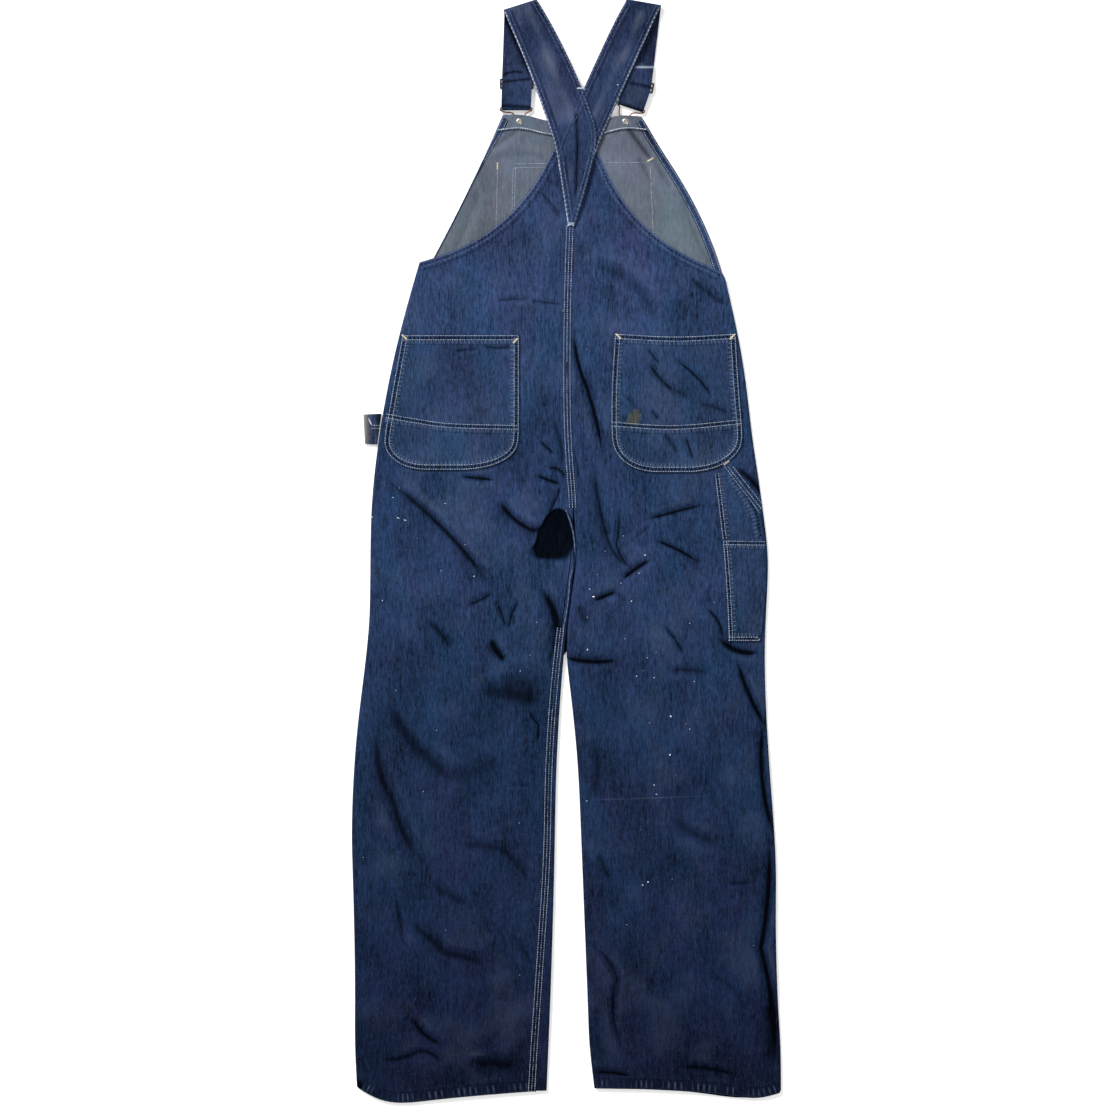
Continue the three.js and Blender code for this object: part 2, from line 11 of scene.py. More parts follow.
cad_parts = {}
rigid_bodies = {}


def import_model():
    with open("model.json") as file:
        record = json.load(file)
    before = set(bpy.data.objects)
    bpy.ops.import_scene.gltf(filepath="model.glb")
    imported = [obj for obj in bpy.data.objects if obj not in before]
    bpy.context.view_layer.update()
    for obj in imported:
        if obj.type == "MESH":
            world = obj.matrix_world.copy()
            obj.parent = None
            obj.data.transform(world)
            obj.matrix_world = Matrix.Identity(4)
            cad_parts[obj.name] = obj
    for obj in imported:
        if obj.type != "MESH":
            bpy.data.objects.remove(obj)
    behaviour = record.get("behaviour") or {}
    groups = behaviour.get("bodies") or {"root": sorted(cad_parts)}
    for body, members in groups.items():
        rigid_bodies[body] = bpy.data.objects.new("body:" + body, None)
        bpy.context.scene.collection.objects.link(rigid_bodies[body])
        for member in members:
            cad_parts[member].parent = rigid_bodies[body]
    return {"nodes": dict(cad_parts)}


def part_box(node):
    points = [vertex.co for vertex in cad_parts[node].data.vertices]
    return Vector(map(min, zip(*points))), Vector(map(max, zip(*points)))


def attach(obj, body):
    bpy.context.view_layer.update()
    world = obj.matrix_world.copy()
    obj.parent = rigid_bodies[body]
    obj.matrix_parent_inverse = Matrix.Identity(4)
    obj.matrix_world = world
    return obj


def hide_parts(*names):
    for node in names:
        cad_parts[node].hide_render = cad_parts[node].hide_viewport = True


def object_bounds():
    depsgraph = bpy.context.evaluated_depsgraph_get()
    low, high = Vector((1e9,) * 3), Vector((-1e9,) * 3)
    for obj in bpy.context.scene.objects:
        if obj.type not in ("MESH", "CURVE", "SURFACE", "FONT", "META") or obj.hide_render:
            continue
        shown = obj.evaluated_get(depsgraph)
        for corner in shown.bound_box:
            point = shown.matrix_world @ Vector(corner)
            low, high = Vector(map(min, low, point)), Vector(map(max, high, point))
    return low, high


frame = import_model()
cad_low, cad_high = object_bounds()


# ---- The view ----
# The garment lies on a white sweep. The camera looks straight down from high above, and a broad soft
# light stands low at the upper left, so that the creases show.

middle = (cad_low + cad_high) / 2
view_width = 1.4784
view_left, view_down = 0.0084, 0.0117
lens, sensor = 85, 36
camera = bpy.data.objects.new("camera", bpy.data.cameras.new("camera"))
camera.data.lens = lens
camera.data.sensor_width = sensor
camera.location = (middle.x - view_left, middle.y - view_down, view_width * lens / sensor + cad_high.z)
bpy.context.collection.objects.link(camera)
bpy.context.scene.camera = camera
bpy.context.scene.view_settings.view_transform = "Standard"


def soft_light(name, place, size, power):
    """A square panel of light that faces the middle of the garment."""
    data = bpy.data.lights.new(name, "AREA")
    data.size = size
    data.energy = power
    light = bpy.data.objects.new(name, data)
    light.location = place
    light.rotation_euler = (middle - Vector(place)).to_track_quat("-Z", "Y").to_euler()
    bpy.context.collection.objects.link(light)


soft_light("window_light", (-4.4, 5.6, 5.0), 2.6, 1050)
soft_light("fill_light", (4.4, -3.0, 5.6), 4.0, 130)


def add_node(tree, kind, inputs=None, **settings):
    """A shader node with its settings made and its inputs filled by values or by other nodes' sockets."""
    made = tree.nodes.new("ShaderNode" + kind)
    for name, value in settings.items():
        setattr(made, name, value)
    for key, value in (inputs or {}).items():
        if isinstance(value, bpy.types.NodeSocket):
            tree.links.new(value, made.inputs[key])
        else:
            made.inputs[key].default_value = value
    return made


def calculate(tree, operation, first, second=0.0, clamp=False):
    inputs = {0: first, 1: second}
    return add_node(tree, "Math", inputs, operation=operation, use_clamp=clamp).outputs[0]


def new_material(name):
    """An empty material, its node tree and its shader."""
    material = bpy.data.materials.new(name)
    material.use_nodes = True
    tree = material.node_tree
    tree.nodes.clear()
    output = tree.nodes.new("ShaderNodeOutputMaterial")
    shader = tree.nodes.new("ShaderNodeBsdfPrincipled")
    tree.links.new(shader.outputs[0], output.inputs["Surface"])
    return material, tree, shader


def emboss(tree, shader, height, strength, distance):
    """Makes a shader's surface look raised where a height is greater."""
    bump = add_node(tree, "Bump", {"Strength": strength, "Distance": distance, "Height": height})
    tree.links.new(bump.outputs[0], shader.inputs["Normal"])


world = bpy.data.worlds.new("studio")
world.use_nodes = True
world.node_tree.nodes["Background"].inputs["Color"].default_value = (1, 1, 1, 1)
world.node_tree.nodes["Background"].inputs["Strength"].default_value = 0.42
bpy.context.scene.world = world

floor_level = -0.0006
bpy.ops.object.select_all(action="DESELECT")
bpy.ops.mesh.primitive_plane_add(size=14, location=(0, 0, floor_level))
floor = bpy.context.object
floor.name = "floor"
white_paper, _, paper_shader = new_material("white paper")
paper_shader.inputs["Base Color"].default_value = (0.9, 0.9, 0.9, 1)
paper_shader.inputs["Roughness"].default_value = 0.9
paper_shader.inputs["Specular IOR Level"].default_value = 0.0
paper_shader.inputs["Emission Color"].default_value = (1, 1, 1, 1)
paper_shader.inputs["Emission Strength"].default_value = 0.35
floor.data.materials.append(white_paper)


# ---- Back panels ----
# Two panels of indigo denim, seat and leg in one. Each is a single layer of cloth that rolls over at its
# side seam, and it lies in the creases that were pressed into it when it was folded away.

def linear(red, green, blue):
    """A colour given on the 0 to 255 scale of a paint chart, as the shader wants it."""
    def light(value):
        share = value / 255
        return share / 12.92 if share <= 0.04045 else ((share + 0.055) / 1.055) ** 2.4
    return (light(red), light(green), light(blue), 1.0)


def denim_group():
    """Woven denim: streaks along the warp, slubs, flecks of bare weft, and each point's Shade value: painted
    shade below 0, and above 0 the paling of wear and of painted highlight.
    """
    group = bpy.data.node_groups.new("denim", "ShaderNodeTree")
    for name, kind in (("Cloth", "Color"), ("Pale", "Color"), ("Streaks", "Float"),
                       ("Mottle", "Float"), ("Shade", "Float"), ("Stain", "Float")):
        group.interface.new_socket(name, in_out="INPUT", socket_type="NodeSocket" + kind)
    for name, kind in (("Color", "Color"), ("Height", "Float"), ("Roughness", "Float")):
        group.interface.new_socket(name, in_out="OUTPUT", socket_type="NodeSocket" + kind)
    given = group.nodes.new("NodeGroupInput").outputs
    made = group.nodes.new("NodeGroupOutput").inputs
    place = add_node(group, "TexCoord").outputs["Object"]

    def noise(scale, detail):
        mapped = add_node(group, "Mapping", {"Vector": place, "Scale": scale}).outputs[0]
        inputs = {"Vector": mapped, "Scale": 1.0, "Detail": detail, "Roughness": 0.6}
        return add_node(group, "TexNoise", inputs).outputs["Fac"]

    def times(first, second):
        return calculate(group, "MULTIPLY", first, second)

    def plus(first, second, clamp=False):
        return calculate(group, "ADD", first, second, clamp)

    def centred(value, strength):
        return times(calculate(group, "SUBTRACT", value, 0.5), strength)

    warp = noise((600, 105, 105), 3.0)
    slub = noise((210, 17, 17), 2.0)
    weft = noise((240, 480, 90), 2.0)
    patches = noise((15, 11, 15), 4.0)
    bare = noise((620, 180, 300), 2.0)
    dye = noise((17, 8, 17), 2.0)
    lines = plus(centred(warp, 2.7), centred(slub, 0.9))
    lines = plus(lines, centred(weft, 0.75))
    tone = plus(times(lines, given["Streaks"]), 1.0)
    blotch = times(centred(patches, 1.6), given["Mottle"])
    tone = calculate(group, "MAXIMUM", plus(tone, blotch), 0.15)
    # Painted shade: a Shade below 0 darkens the cloth, down to near black in creases and hollows.
    dark = plus(calculate(group, "MINIMUM", given["Shade"], 0.0), 1.0)
    tone = times(tone, calculate(group, "MAXIMUM", dark, 0.06))
    toned = add_node(group, "VectorMath", {0: given["Cloth"], "Scale": tone}, operation="SCALE").outputs[0]
    share = times(centred(dye, 4.0), given["Streaks"])
    share = plus(share, 0.42, clamp=True)
    hues = add_node(group, "Mix", {0: share, 6: (0.88, 1.05, 1.02, 1), 7: (1.13, 0.96, 0.99, 1)},
                    data_type="RGBA")
    toned = add_node(group, "VectorMath", {0: toned, 1: hues.outputs[2]}, operation="MULTIPLY").outputs[0]
    flecks = add_node(group, "MapRange", {"Value": bare, "From Min": 0.6, "From Max": 0.78}).outputs[0]
    flecks = times(flecks, given["Streaks"])
    # A Shade above 0 turns the cloth pale: wear, and the small painted highlight on crease banks.
    rubbed = calculate(group, "MAXIMUM", given["Shade"], 0.0)
    through = times(calculate(group, "POWER", rubbed, 5.0), 0.65)
    worn = plus(times(rubbed, 0.35), through)
    worn = plus(worn, times(flecks, 0.07), clamp=True)
    worn = times(worn, calculate(group, "MAXIMUM", dark, 0.0))
    mix = add_node(group, "Mix", {0: worn, 6: toned, 7: given["Pale"]}, data_type="RGBA")
    oil = add_node(group, "VectorMath", {0: linear(70, 71, 58)[:3], "Scale": tone},
                   operation="SCALE").outputs[0]
    soiled = add_node(group, "Mix", {0: given["Stain"], 6: mix.outputs[2], 7: oil}, data_type="RGBA")
    group.links.new(soiled.outputs[2], made["Color"])
    turned = add_node(group, "Mapping", {"Vector": place, "Rotation": (0, 0, math.radians(62))}).outputs[0]
    twill = add_node(group, "TexWave", {"Vector": turned, "Scale": 330.0, "Distortion": 1.5}).outputs["Fac"]
    height = plus(times(twill, 0.35), warp)
    height = plus(height, times(slub, 0.6))
    group.links.new(height, made["Height"])
    rough = calculate(group, "SUBTRACT", 0.94, times(warp, 0.12))
    group.links.new(rough, made["Roughness"])
    return group


denim_weave = denim_group()


def denim_cloth(name, tones, pale, streaks=1.0, mottle=1.0):
    """Denim whose colour changes up the garment: `tones` holds a height along Y and the colour there."""
    material, tree, shader = new_material(name)
    place = add_node(tree, "TexCoord").outputs["Object"]
    up = add_node(tree, "SeparateXYZ", {0: place}).outputs["Y"]
    low, high = tones[0][0], tones[-1][0]
    share = add_node(tree, "MapRange", {"Value": up, "From Min": low, "From Max": high}).outputs[0]
    ramp = add_node(tree, "ValToRGB", {0: share})
    stops = ramp.color_ramp.elements
    for _ in tones[2:]:
        stops.new(0.5)
    for stop, (height, colour) in zip(stops, tones):
        stop.position = (height - low) / (high - low)
        stop.color = linear(*colour)
    shade = add_node(tree, "Attribute", attribute_name="shade").outputs["Fac"]
    weave = add_node(tree, "Group", node_tree=denim_weave)
    stain = add_node(tree, "Attribute", attribute_name="stain").outputs["Fac"]
    for key, value in (("Cloth", ramp.outputs[0]), ("Shade", shade), ("Stain", stain)):
        tree.links.new(value, weave.inputs[key])
    weave.inputs["Pale"].default_value = linear(*pale)
    weave.inputs["Streaks"].default_value = streaks
    weave.inputs["Mottle"].default_value = mottle
    tree.links.new(weave.outputs["Color"], shader.inputs["Base Color"])
    tree.links.new(weave.outputs["Roughness"], shader.inputs["Roughness"])
    emboss(tree, shader, weave.outputs["Height"], 0.5, 0.0004)
    shader.inputs["Specular IOR Level"].default_value = 0.02
    return material


# The body's colour darkens down towards the hems: partly the cloth's own less faded tone, partly painted
# shade standing in for light falling off down the garment.
body_tones = [(-0.72, (15, 22, 42)), (-0.60, (19, 27, 51)), (-0.42, (24, 36, 62)), (-0.22, (26, 41, 68)),
              (-0.05, (33, 49, 79)), (0.15, (34, 50, 81)), (0.30, (39, 55, 87)), (0.50, (43, 56, 88))]
body_denim = denim_cloth("body denim", body_tones, (140, 156, 186))


def pick(piece):
    """Selects one piece alone, for the commands that work on what is selected."""
    bpy.ops.object.select_all(action="DESELECT")
    bpy.context.view_layer.objects.active = piece
    piece.select_set(True)


def shell_of(node, name, fineness):
    """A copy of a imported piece: merged, in quads, smoothed all over but with its rims kept crisp."""
    mesh = frame["nodes"][node].data.copy()
    mesh.name = name
    mesh.materials.clear()
    if "custom_normal" in mesh.attributes:
        mesh.attributes.remove(mesh.attributes["custom_normal"])
    work = bmesh.new()
    work.from_mesh(mesh)
    bmesh.ops.remove_doubles(work, verts=work.verts, dist=1e-6)
    bmesh.ops.join_triangles(work, faces=work.faces, angle_face_threshold=math.pi,
                             angle_shape_threshold=math.pi)
    crisp = work.edges.layers.float.new("crease_edge")
    for edge in work.edges:
        if edge.calc_face_angle(0) > math.radians(50):
            edge[crisp] = 1.0
    work.to_mesh(mesh)
    work.free()
    piece = bpy.data.objects.new(name, mesh)
    bpy.context.collection.objects.link(piece)
    smooth = piece.modifiers.new("smooth", "SUBSURF")
    smooth.levels = fineness
    smooth.render_levels = fineness
    pick(piece)
    bpy.ops.object.modifier_apply(modifier=smooth.name)
    bpy.ops.object.shade_smooth_by_angle(angle=math.radians(50))
    return piece


def refine(piece, wanted):
    """Halves those faces of a shell's upper side that `wanted` picks by their places in plan."""
    work = bmesh.new()
    work.from_mesh(piece.data)
    upper = [face for face in work.faces if face.normal.z > 0.2]
    centres = np.array([face.calc_center_median() for face in upper])
    picked = wanted(centres[:, 0], centres[:, 1])
    edges = {edge for face, pick in zip(upper, picked) if pick for edge in face.edges}
    bmesh.ops.subdivide_edges(work, edges=list(edges), cuts=1, use_grid_fill=True)
    work.to_mesh(piece.data)
    work.free()


def points_of(piece):
    points = np.empty(len(piece.data.vertices) * 3)
    piece.data.vertices.foreach_get("co", points)
    return points.reshape(-1, 3)


def normals_of(piece):
    normals = np.empty(len(piece.data.vertices) * 3)
    piece.data.vertices.foreach_get("normal", normals)
    return normals.reshape(-1, 3)


def store(mesh, name, values):
    """Keeps a value from -1 to 1 at each of a mesh's points, for its material to read."""
    kept = mesh.attributes.new(name, "FLOAT", "POINT")
    kept.data.foreach_set("value", np.clip(values, -1, 1))


def stain_at(x, y):
    """How soaked the cloth is by the spot of oil on the right back pocket, from 0 to 1."""
    spot_x, spot_y, spot_radius = 0.087, 0.176, 0.0085
    away = np.hypot(x - spot_x - 0.3 * (y - spot_y), 0.8 * (y - spot_y)) / spot_radius
    return np.clip(3.2 - 3.0 * away + 0.8 * rumple(x, y, 0.004, 21), 0, 0.75)


def reshape(piece, points, shade):
    """Puts a piece's points in new places, and stores each one's painted shade (below 0), and its wear and
    painted highlight (above 0).
    """
    piece.data.vertices.foreach_set("co", points.ravel())
    store(piece.data, "shade", shade)
    store(piece.data, "stain", stain_at(points[:, 0], points[:, 1]))
    piece.data.update()


def outline_of(piece):
    """The edge of a shell's upper face, seen from above, as one closed line."""
    mesh = piece.data
    loop_edges = np.empty(len(mesh.loops), int)
    mesh.loops.foreach_get("edge_index", loop_edges)
    sizes = np.empty(len(mesh.polygons), int)
    mesh.polygons.foreach_get("loop_total", sizes)
    normals = np.empty(len(mesh.polygons) * 3)
    mesh.polygons.foreach_get("normal", normals)
    facing_up = np.repeat(normals.reshape(-1, 3)[:, 2] > 0.3, sizes)
    count = np.bincount(loop_edges, weights=facing_up, minlength=len(mesh.edges))
    neighbours = {}
    for index in np.nonzero(count == 1)[0]:
        a, b = mesh.edges[index].vertices
        neighbours.setdefault(a, []).append(b)
        neighbours.setdefault(b, []).append(a)
    loops = []
    while neighbours:
        here = next(iter(neighbours))
        loop = []
        while here is not None:
            loop.append(here)
            onward = [n for n in neighbours.pop(here) if n in neighbours]
            here = onward[0] if onward else None
        loops.append(loop)
    longest = max(loops, key=len)
    return np.array([mesh.vertices[i].co for i in longest])


def stretch(loop, start, through, end):
    """The part of a closed line from the point nearest `start`, past `through`, to the one nearest `end`."""
    first, via, last = (int(np.argmin(np.hypot(loop[:, 0] - x, loop[:, 1] - y)))
                        for x, y in (start, through, end))
    count = len(loop)
    forward = [(first + i) % count for i in range((last - first) % count + 1)]
    backward = [(first - i) % count for i in range((first - last) % count + 1)]
    return loop[forward if via in forward else backward][:, :2]


line_pitch, row_pitch = 0.004, 0.003


def spaced(line, pitch):
    """Points at an even spacing along a line in plan."""
    line = np.asarray(line, float)
    runs = np.r_[0, np.cumsum(np.hypot(*np.diff(line, axis=0).T))]
    count = max(1, round(runs[-1] / pitch))
    at = np.linspace(0, runs[-1], count + 1)
    return np.c_[np.interp(at, runs, line[:, 0]), np.interp(at, runs, line[:, 1])]


def curved(points, pitch=line_pitch):
    """A smooth line through a few points, as points at an even spacing."""
    points = np.asarray(points, float)
    ends = np.r_[[2 * points[0] - points[1]], points, [2 * points[-1] - points[-2]]]
    t = np.linspace(0, 1, 13)[:-1, None]
    spans = [0.5 * (2 * b + (c - a) * t + (2 * a - 5 * b + 4 * c - d) * t ** 2
                    + (3 * b - a - 3 * c + d) * t ** 3)
             for a, b, c, d in zip(ends, ends[1:], ends[2:], ends[3:])]
    return spaced(np.r_[np.concatenate(spans), [points[-1]]], pitch)


def directions(line):
    """The unit direction of a line at each of its points."""
    along = np.gradient(line, axis=0)
    return along / np.maximum(np.hypot(*along.T)[:, None], 1e-9)


def beside(line, distance):
    """A line moved sideways, to its left where the distance is positive."""
    dx, dy = directions(line).T
    return line + distance * np.c_[-dy, dx]


def from_line(line, x, y):
    """Each point's distance from a line, positive on its left, and how far along the line it is."""
    distance = np.full(x.shape, np.inf)
    along = np.zeros(x.shape)
    travelled = 0.0
    for (ax, ay), (bx, by) in zip(line, line[1:]):
        dx, dy = bx - ax, by - ay
        run = math.hypot(dx, dy)
        share = np.clip(((x - ax) * dx + (y - ay) * dy) / run ** 2, 0, 1)
        gap = np.hypot(x - ax - share * dx, y - ay - share * dy)
        side = np.where(dx * (y - ay) - dy * (x - ax) >= 0, 1, -1)
        nearer = gap < np.abs(distance)
        distance = np.where(nearer, gap * side, distance)
        along = np.where(nearer, travelled + share * run, along)
        travelled += run
    return distance, along


def bell(value):
    return np.exp(-value * value)


def ease(low, high, value):
    """0 up to `low`, 1 from `high`, and smooth between them."""
    share = np.clip((value - low) / (high - low), 0, 1)
    return share * share * (3 - 2 * share)


def rumple(x, y, cell, seed):
    """Smooth random unevenness from -1 to 1, with humps about `cell` across."""
    grid = np.random.default_rng(seed).uniform(-1, 1, (97, 97))
    u, v = x / cell + 48, y / cell + 48
    i, j = np.floor(u).astype(int) % 96, np.floor(v).astype(int) % 96
    a, b = ease(0, 1, u - np.floor(u)), ease(0, 1, v - np.floor(v))
    low = grid[i, j] * (1 - a) + grid[i + 1, j] * a
    high = grid[i, j + 1] * (1 - a) + grid[i + 1, j + 1] * a
    return low * (1 - b) + high * b


millimetre = 0.001
# A crease is a chain of arcs in plan: a place, how far the arc bows to its left, the next place, and so on.
# Then how deep its trough is and the trough's half width, how dark the painted shade along its bottom is and
# half the width of that painted dark line, and what lies along its left and its right: a bank that stands so
# high and gets a little painted highlight, or where it is below 0 a painted shadow that dark. All are in
# millimetres, apart from the darknesses.
creases = [
    # Across the left thigh and round the knee.
    ([(-238, 93), 8, (-104, -43)], 2.4, 7, 0.72, 3.4, 1.6, -0.15),
    ([(-135, -72), -2, (-98, -53)], 1.4, 5, 0.6, 1.8, 0.6, 0.4),
    ([(-96, -63), 1, (-82, -101)], 2, 4, 0.85, 1.1, 0.8, 1),
    ([(-65, -65), -3, (-78, -105)], 2, 4, 0.85, 1.1, 0.8, 1),
    ([(-103, -115), -2, (-82, -146)], 2.4, 6, 0.95, 4.5, 1.4, 0.8),
    ([(-187, -91), 3, (-155, -129)], 1.6, 6, 0.5, 3.2, 0.8, 0.6),
    ([(-143, 99), 0, (-96, 94)], 1.8, 4, 0.9, 2, 0.6, 0.6),
    ([(-42, 101), -1, (-9, 89)], 1.8, 4, 0.75, 2.2, 0.6, 0.8),
    ([(-9, 89), 2, (-28, 46)], 1.6, 4, 0.75, 1.2, 0.6, 0.8),
    ([(-92, 69), -5, (-47, 28), -2, (-30, 36)], 2.6, 7, 0.8, 3.2, 1.8, -0.25),
    ([(-65, 83), 0, (-36, 51)], -1.2, 16, -0.1, 16, 0, 0),
    ([(-117, -180), -3, (-34, -193)], 2.4, 11, 0.6, 11, 0, -0.1),
    ([(-92, -169), 0, (-38, -177)], 0.3, 14, 0.4, 12, 0, 0),
    ([(-38, -47), 15, (-22, -146)], 2.2, 8, 0.85, 5.5, 1, 0.6),
    # Down the left shin to its hem.
    ([(-236, -200), -3, (-197, -262), 2, (-157, -303)], 2.8, 12, 0.55, 8, 1.2, -0.1),
    ([(-166, -298), -7, (-88, -271)], 1, 11, 0.3, 9, 0.4, 0.3),
    ([(-252, -238), -8, (-229, -337), -6, (-192, -410)], 2.4, 10, 0.62, 5, 1.2, 0.6),
    ([(-51, -211), -2, (-39, -228), 1, (-41, -255)], 1.6, 4, 0.75, 1.3, 0.6, 0.6),
    ([(-145, -387), 1, (-89, -393), 5, (-52, -439)], 1.6, 9, 0.4, 5, 0.8, 0.4),
    ([(-76, -308), 0, (-49, -310)], 0.8, 3, 0.35, 1, 0.3, 0.3),
    ([(-180, -437), -3, (-129, -467)], 1.2, 7, 0.35, 4, 0.6, 0.4),
    ([(-229, -450), 1, (-217, -528)], 1.4, 6, 0.5, 2, 0.6, 0.6),
    ([(-209, -488), 0, (-161, -532), 3, (-108, -548)], 2, 9, 0.5, 4.5, 1, 0.4),
    ([(-66, -517), 2, (-47, -550)], 1, 6, 0.35, 3, 0.4, 0.4),
    ([(-207, -612), -7, (-165, -652)], 2, 6, 0.7, 2.8, 0.8, 0.6),
    ([(-246, -672), -4, (-196, -660), 4, (-167, -676)], 1.6, 5, 0.65, 2.4, 0.6, 0.5),
    ([(-128, -678), 3, (-68, -682)], 2, 9, 0.65, 7.5, 0.6, 0.4),
    ([(-132, -665), 0, (-105, -665)], -0.2, 2, -0.35, 0.8, 0, 0),
    ([(-278, -696), -7, (-253, -722)], 1, 5, 0.85, 4, 0, 0),
    # Down the right thigh and across the knee.
    ([(8, 295), -4, (24, 219), 2, (47, 126)], 3, 7, 0.95, 2.4, 1.2, 1.8),
    ([(36, 117), -3, (49, 30), -8, (87, -26)], 2.4, 7, 0.6, 2.4, 0.8, -0.15),
    ([(6, 140), 1, (15, 95)], 1.2, 4, 0.5, 1.2, 0.5, 0.5),
    ([(67, 56), 2, (64, 10), -4, (87, -25)], 1.6, 4, 0.75, 1.1, 0.7, 0.7),
    ([(103, 42), 0, (180, 62)], 2, 5, 0.85, 1.7, 1.2, 0.5),
    ([(87, 16), 0, (111, 36)], 0.8, 3, 0.35, 1, 0.3, 0.3),
    ([(115, 15), 2, (172, -14)], 2, 5, 0.85, 1.8, 1.2, 0.5),
    ([(72, -37), 1, (109, -11)], 2.6, 5, 0.95, 2.2, 1.3, 0.8),
    ([(35, -65), 0, (64, -53)], 2.6, 5, 0.95, 2.4, 1.2, 0.8),
    ([(64, -55), 0, (77, -67)], 0.8, 3, 0.45, 1, 0.3, 0.3),
    ([(126, -98), 2, (153, -136)], 1.8, 4, 0.8, 1.2, 0.8, 0.8),
    ([(159, -87), 2, (154, -119)], 0.8, 4, 0.35, 1.3, 0.4, 0.4),
    ([(181, -75), 7, (204, -117)], 1.8, 4, 0.8, 1.4, 0.8, 0.6),
    ([(200, -115), -8, (253, -133)], 2.6, 5, 1, 3.4, 0, 1),
    ([(184, -50), 0, (186, -69)], 0.8, 6, 0.4, 3.5, 0.3, 0.3),
    ([(-4, -140), -4, (65, -144)], 2.8, 6, 0.97, 2.4, 1.2, 1),
    ([(15, -70), 0, (23, -96)], 0.8, 8, 0.45, 6, 0.4, 0.4),
    ([(134, -158), 3, (188, -162)], 1.4, 6, 0.45, 3, 0.8, 0.6),
    ([(222, 111), 3, (259, 72)], 1.2, 6, 0.7, 4, 0, 0),
    # Down the right shin, mostly along its outer side.
    ([(224, -144), -4, (262, -232)], 2.6, 6, 0.92, 3.2, 1, 0.4),
    ([(258, -226), -9, (274, -379)], 2.6, 6, 0.95, 3, 1.2, 0.4),
    ([(265, -368), 5, (255, -525), 5, (274, -670)], 2.6, 6, 0.92, 3.4, 1.2, 0.4),
    ([(265, -593), 0, (270, -680)], 0.6, 10, 0.5, 8, 0, 0),
    ([(139, -352), -5, (197, -385)], 1.6, 9, 0.4, 5, 0.8, 0.6),
    ([(42, -399), -3, (58, -434)], 1.4, 7, 0.45, 4, 0.5, 0.5),
    ([(38, -256), 1, (36, -329)], 1, 7, 0.35, 5, 0.4, 0.4),
    ([(19, -329), 0, (197, -323)], -0.2, 2, -0.25, 0.8, 0, 0),
    ([(212, -439), 0, (241, -438)], 1, 4, 0.5, 1.5, 0.4, 0.4),
    ([(29, -517), 5, (65, -565), -10, (75, -660)], 1.6, 5, 0.55, 1.8, 0.7, 0.5),
    ([(185, -561), 8, (232, -600)], 0.8, 5, 0.3, 1.8, 0.3, 0.3),
    ([(32, -689), 3, (85, -695)], 1.4, 5, 0.75, 2.4, 0.5, 0.4),
    ([(147, -681), 3, (226, -693)], 1.4, 5, 0.7, 2.6, 0.5, 0.4),
    # Over the seat and the waist.
    ([(-95, 331), 1, (-53, 333)], 0.8, 3, 0.5, 1.1, 0.4, 0.4),
    ([(-49, 331), 0, (-6, 326)], 0.8, 3, 0.5, 1.2, 0.4, 0.4),
    ([(-60, 326), 0, (-62, 288)], 0.5, 3, 0.35, 1, 0.2, 0.2),
    ([(-37, 146), 0, (-18, 128)], 1.6, 4, 0.8, 1.2, 0.6, 0.6),
    ([(-27, 109), 7, (-4, 95)], 1.6, 4, 0.7, 1.8, 0.6, 0.6),
    ([(-22, 179), 5, (-8, 107)], 1, 6, 0.45, 3.5, 0.4, 0),
    ([(35, 378), 18, (114, 302)], 1.6, 10, 0.38, 7, 0.8, 0.4),
    ([(160, 362), 0, (209, 324)], 1.6, 7, 0.45, 3.2, 0.8, 0.6),
    ([(-38, 477), 1, (-9, 442)], 0.8, 4, 0.45, 1.6, 0.4, 0.4),
    ([(35, 510), 0, (61, 471)], 0.8, 6, 0.45, 3.2, 0.4, 0.4),
    # Where the back pockets have creased.
    ([(105, 268), 0, (121, 247)], 1.2, 3.5, 0.7, 1.3, 0.5, 0.5),
    ([(106, 250), -2, (137, 213)], 1.4, 5, 0.7, 2.2, 0.6, 0.6),
    ([(129, 218), 1, (161, 202)], 1, 6, 0.4, 3.5, 0.4, 0.4),
    ([(143, 252), 4, (190, 204)], 1.4, 4, 0.78, 1.4, 0.6, 0.6),
    ([(77, 204), 3, (87, 186)], 0.8, 4, 0.4, 2, 0.3, 0.3),
    ([(110, 188), 0, (120, 173)], 1, 4, 0.6, 2, 0.4, 0.4),
    ([(176, 194), 2, (213, 182)], 1, 5, 0.45, 3, 0.4, 0.4),
    ([(126, 157), 0, (147, 128)], 1, 5, 0.5, 3, 0.5, 0.5),
    ([(155, 153), 0, (166, 119)], 1.2, 4, 0.75, 1.4, 0.5, 0.5),
    ([(-153, 264), 0, (-117, 268)], 0.8, 3, 0.5, 1.8, 0.3, 0.3),
    ([(-113, 272), -4, (-68, 273)], 0.8, 3, 0.6, 1.8, 0.3, 0.3),
]
# The hollow at the crotch, where the cloth is tucked down beside the inner seam, is upright and narrows
# towards its top.
hollow_centre, hollow_half = (-0.016, 0.021), (0.025, 0.034)
# How deep it is, and the furthest down that the cloth can be moved anywhere, in millimetres.
hollow_depth, lowest = 3.4, -3.3


def crease_line(chain, pitch=line_pitch):
    """The line of a chain of arcs given in millimetres, as points at an even spacing."""
    t = np.linspace(0, 1, 17)[:, None]
    line = []
    for start, bow, end in zip(chain[0::2], chain[1::2], chain[2::2]):
        run = np.subtract(end, start)
        side = np.array([-run[1], run[0]]) / np.hypot(*run)
        line.append(np.array(start) + run * t + side * bow * 4 * t * (1 - t))
    return spaced(np.concatenate(line) * millimetre, pitch)


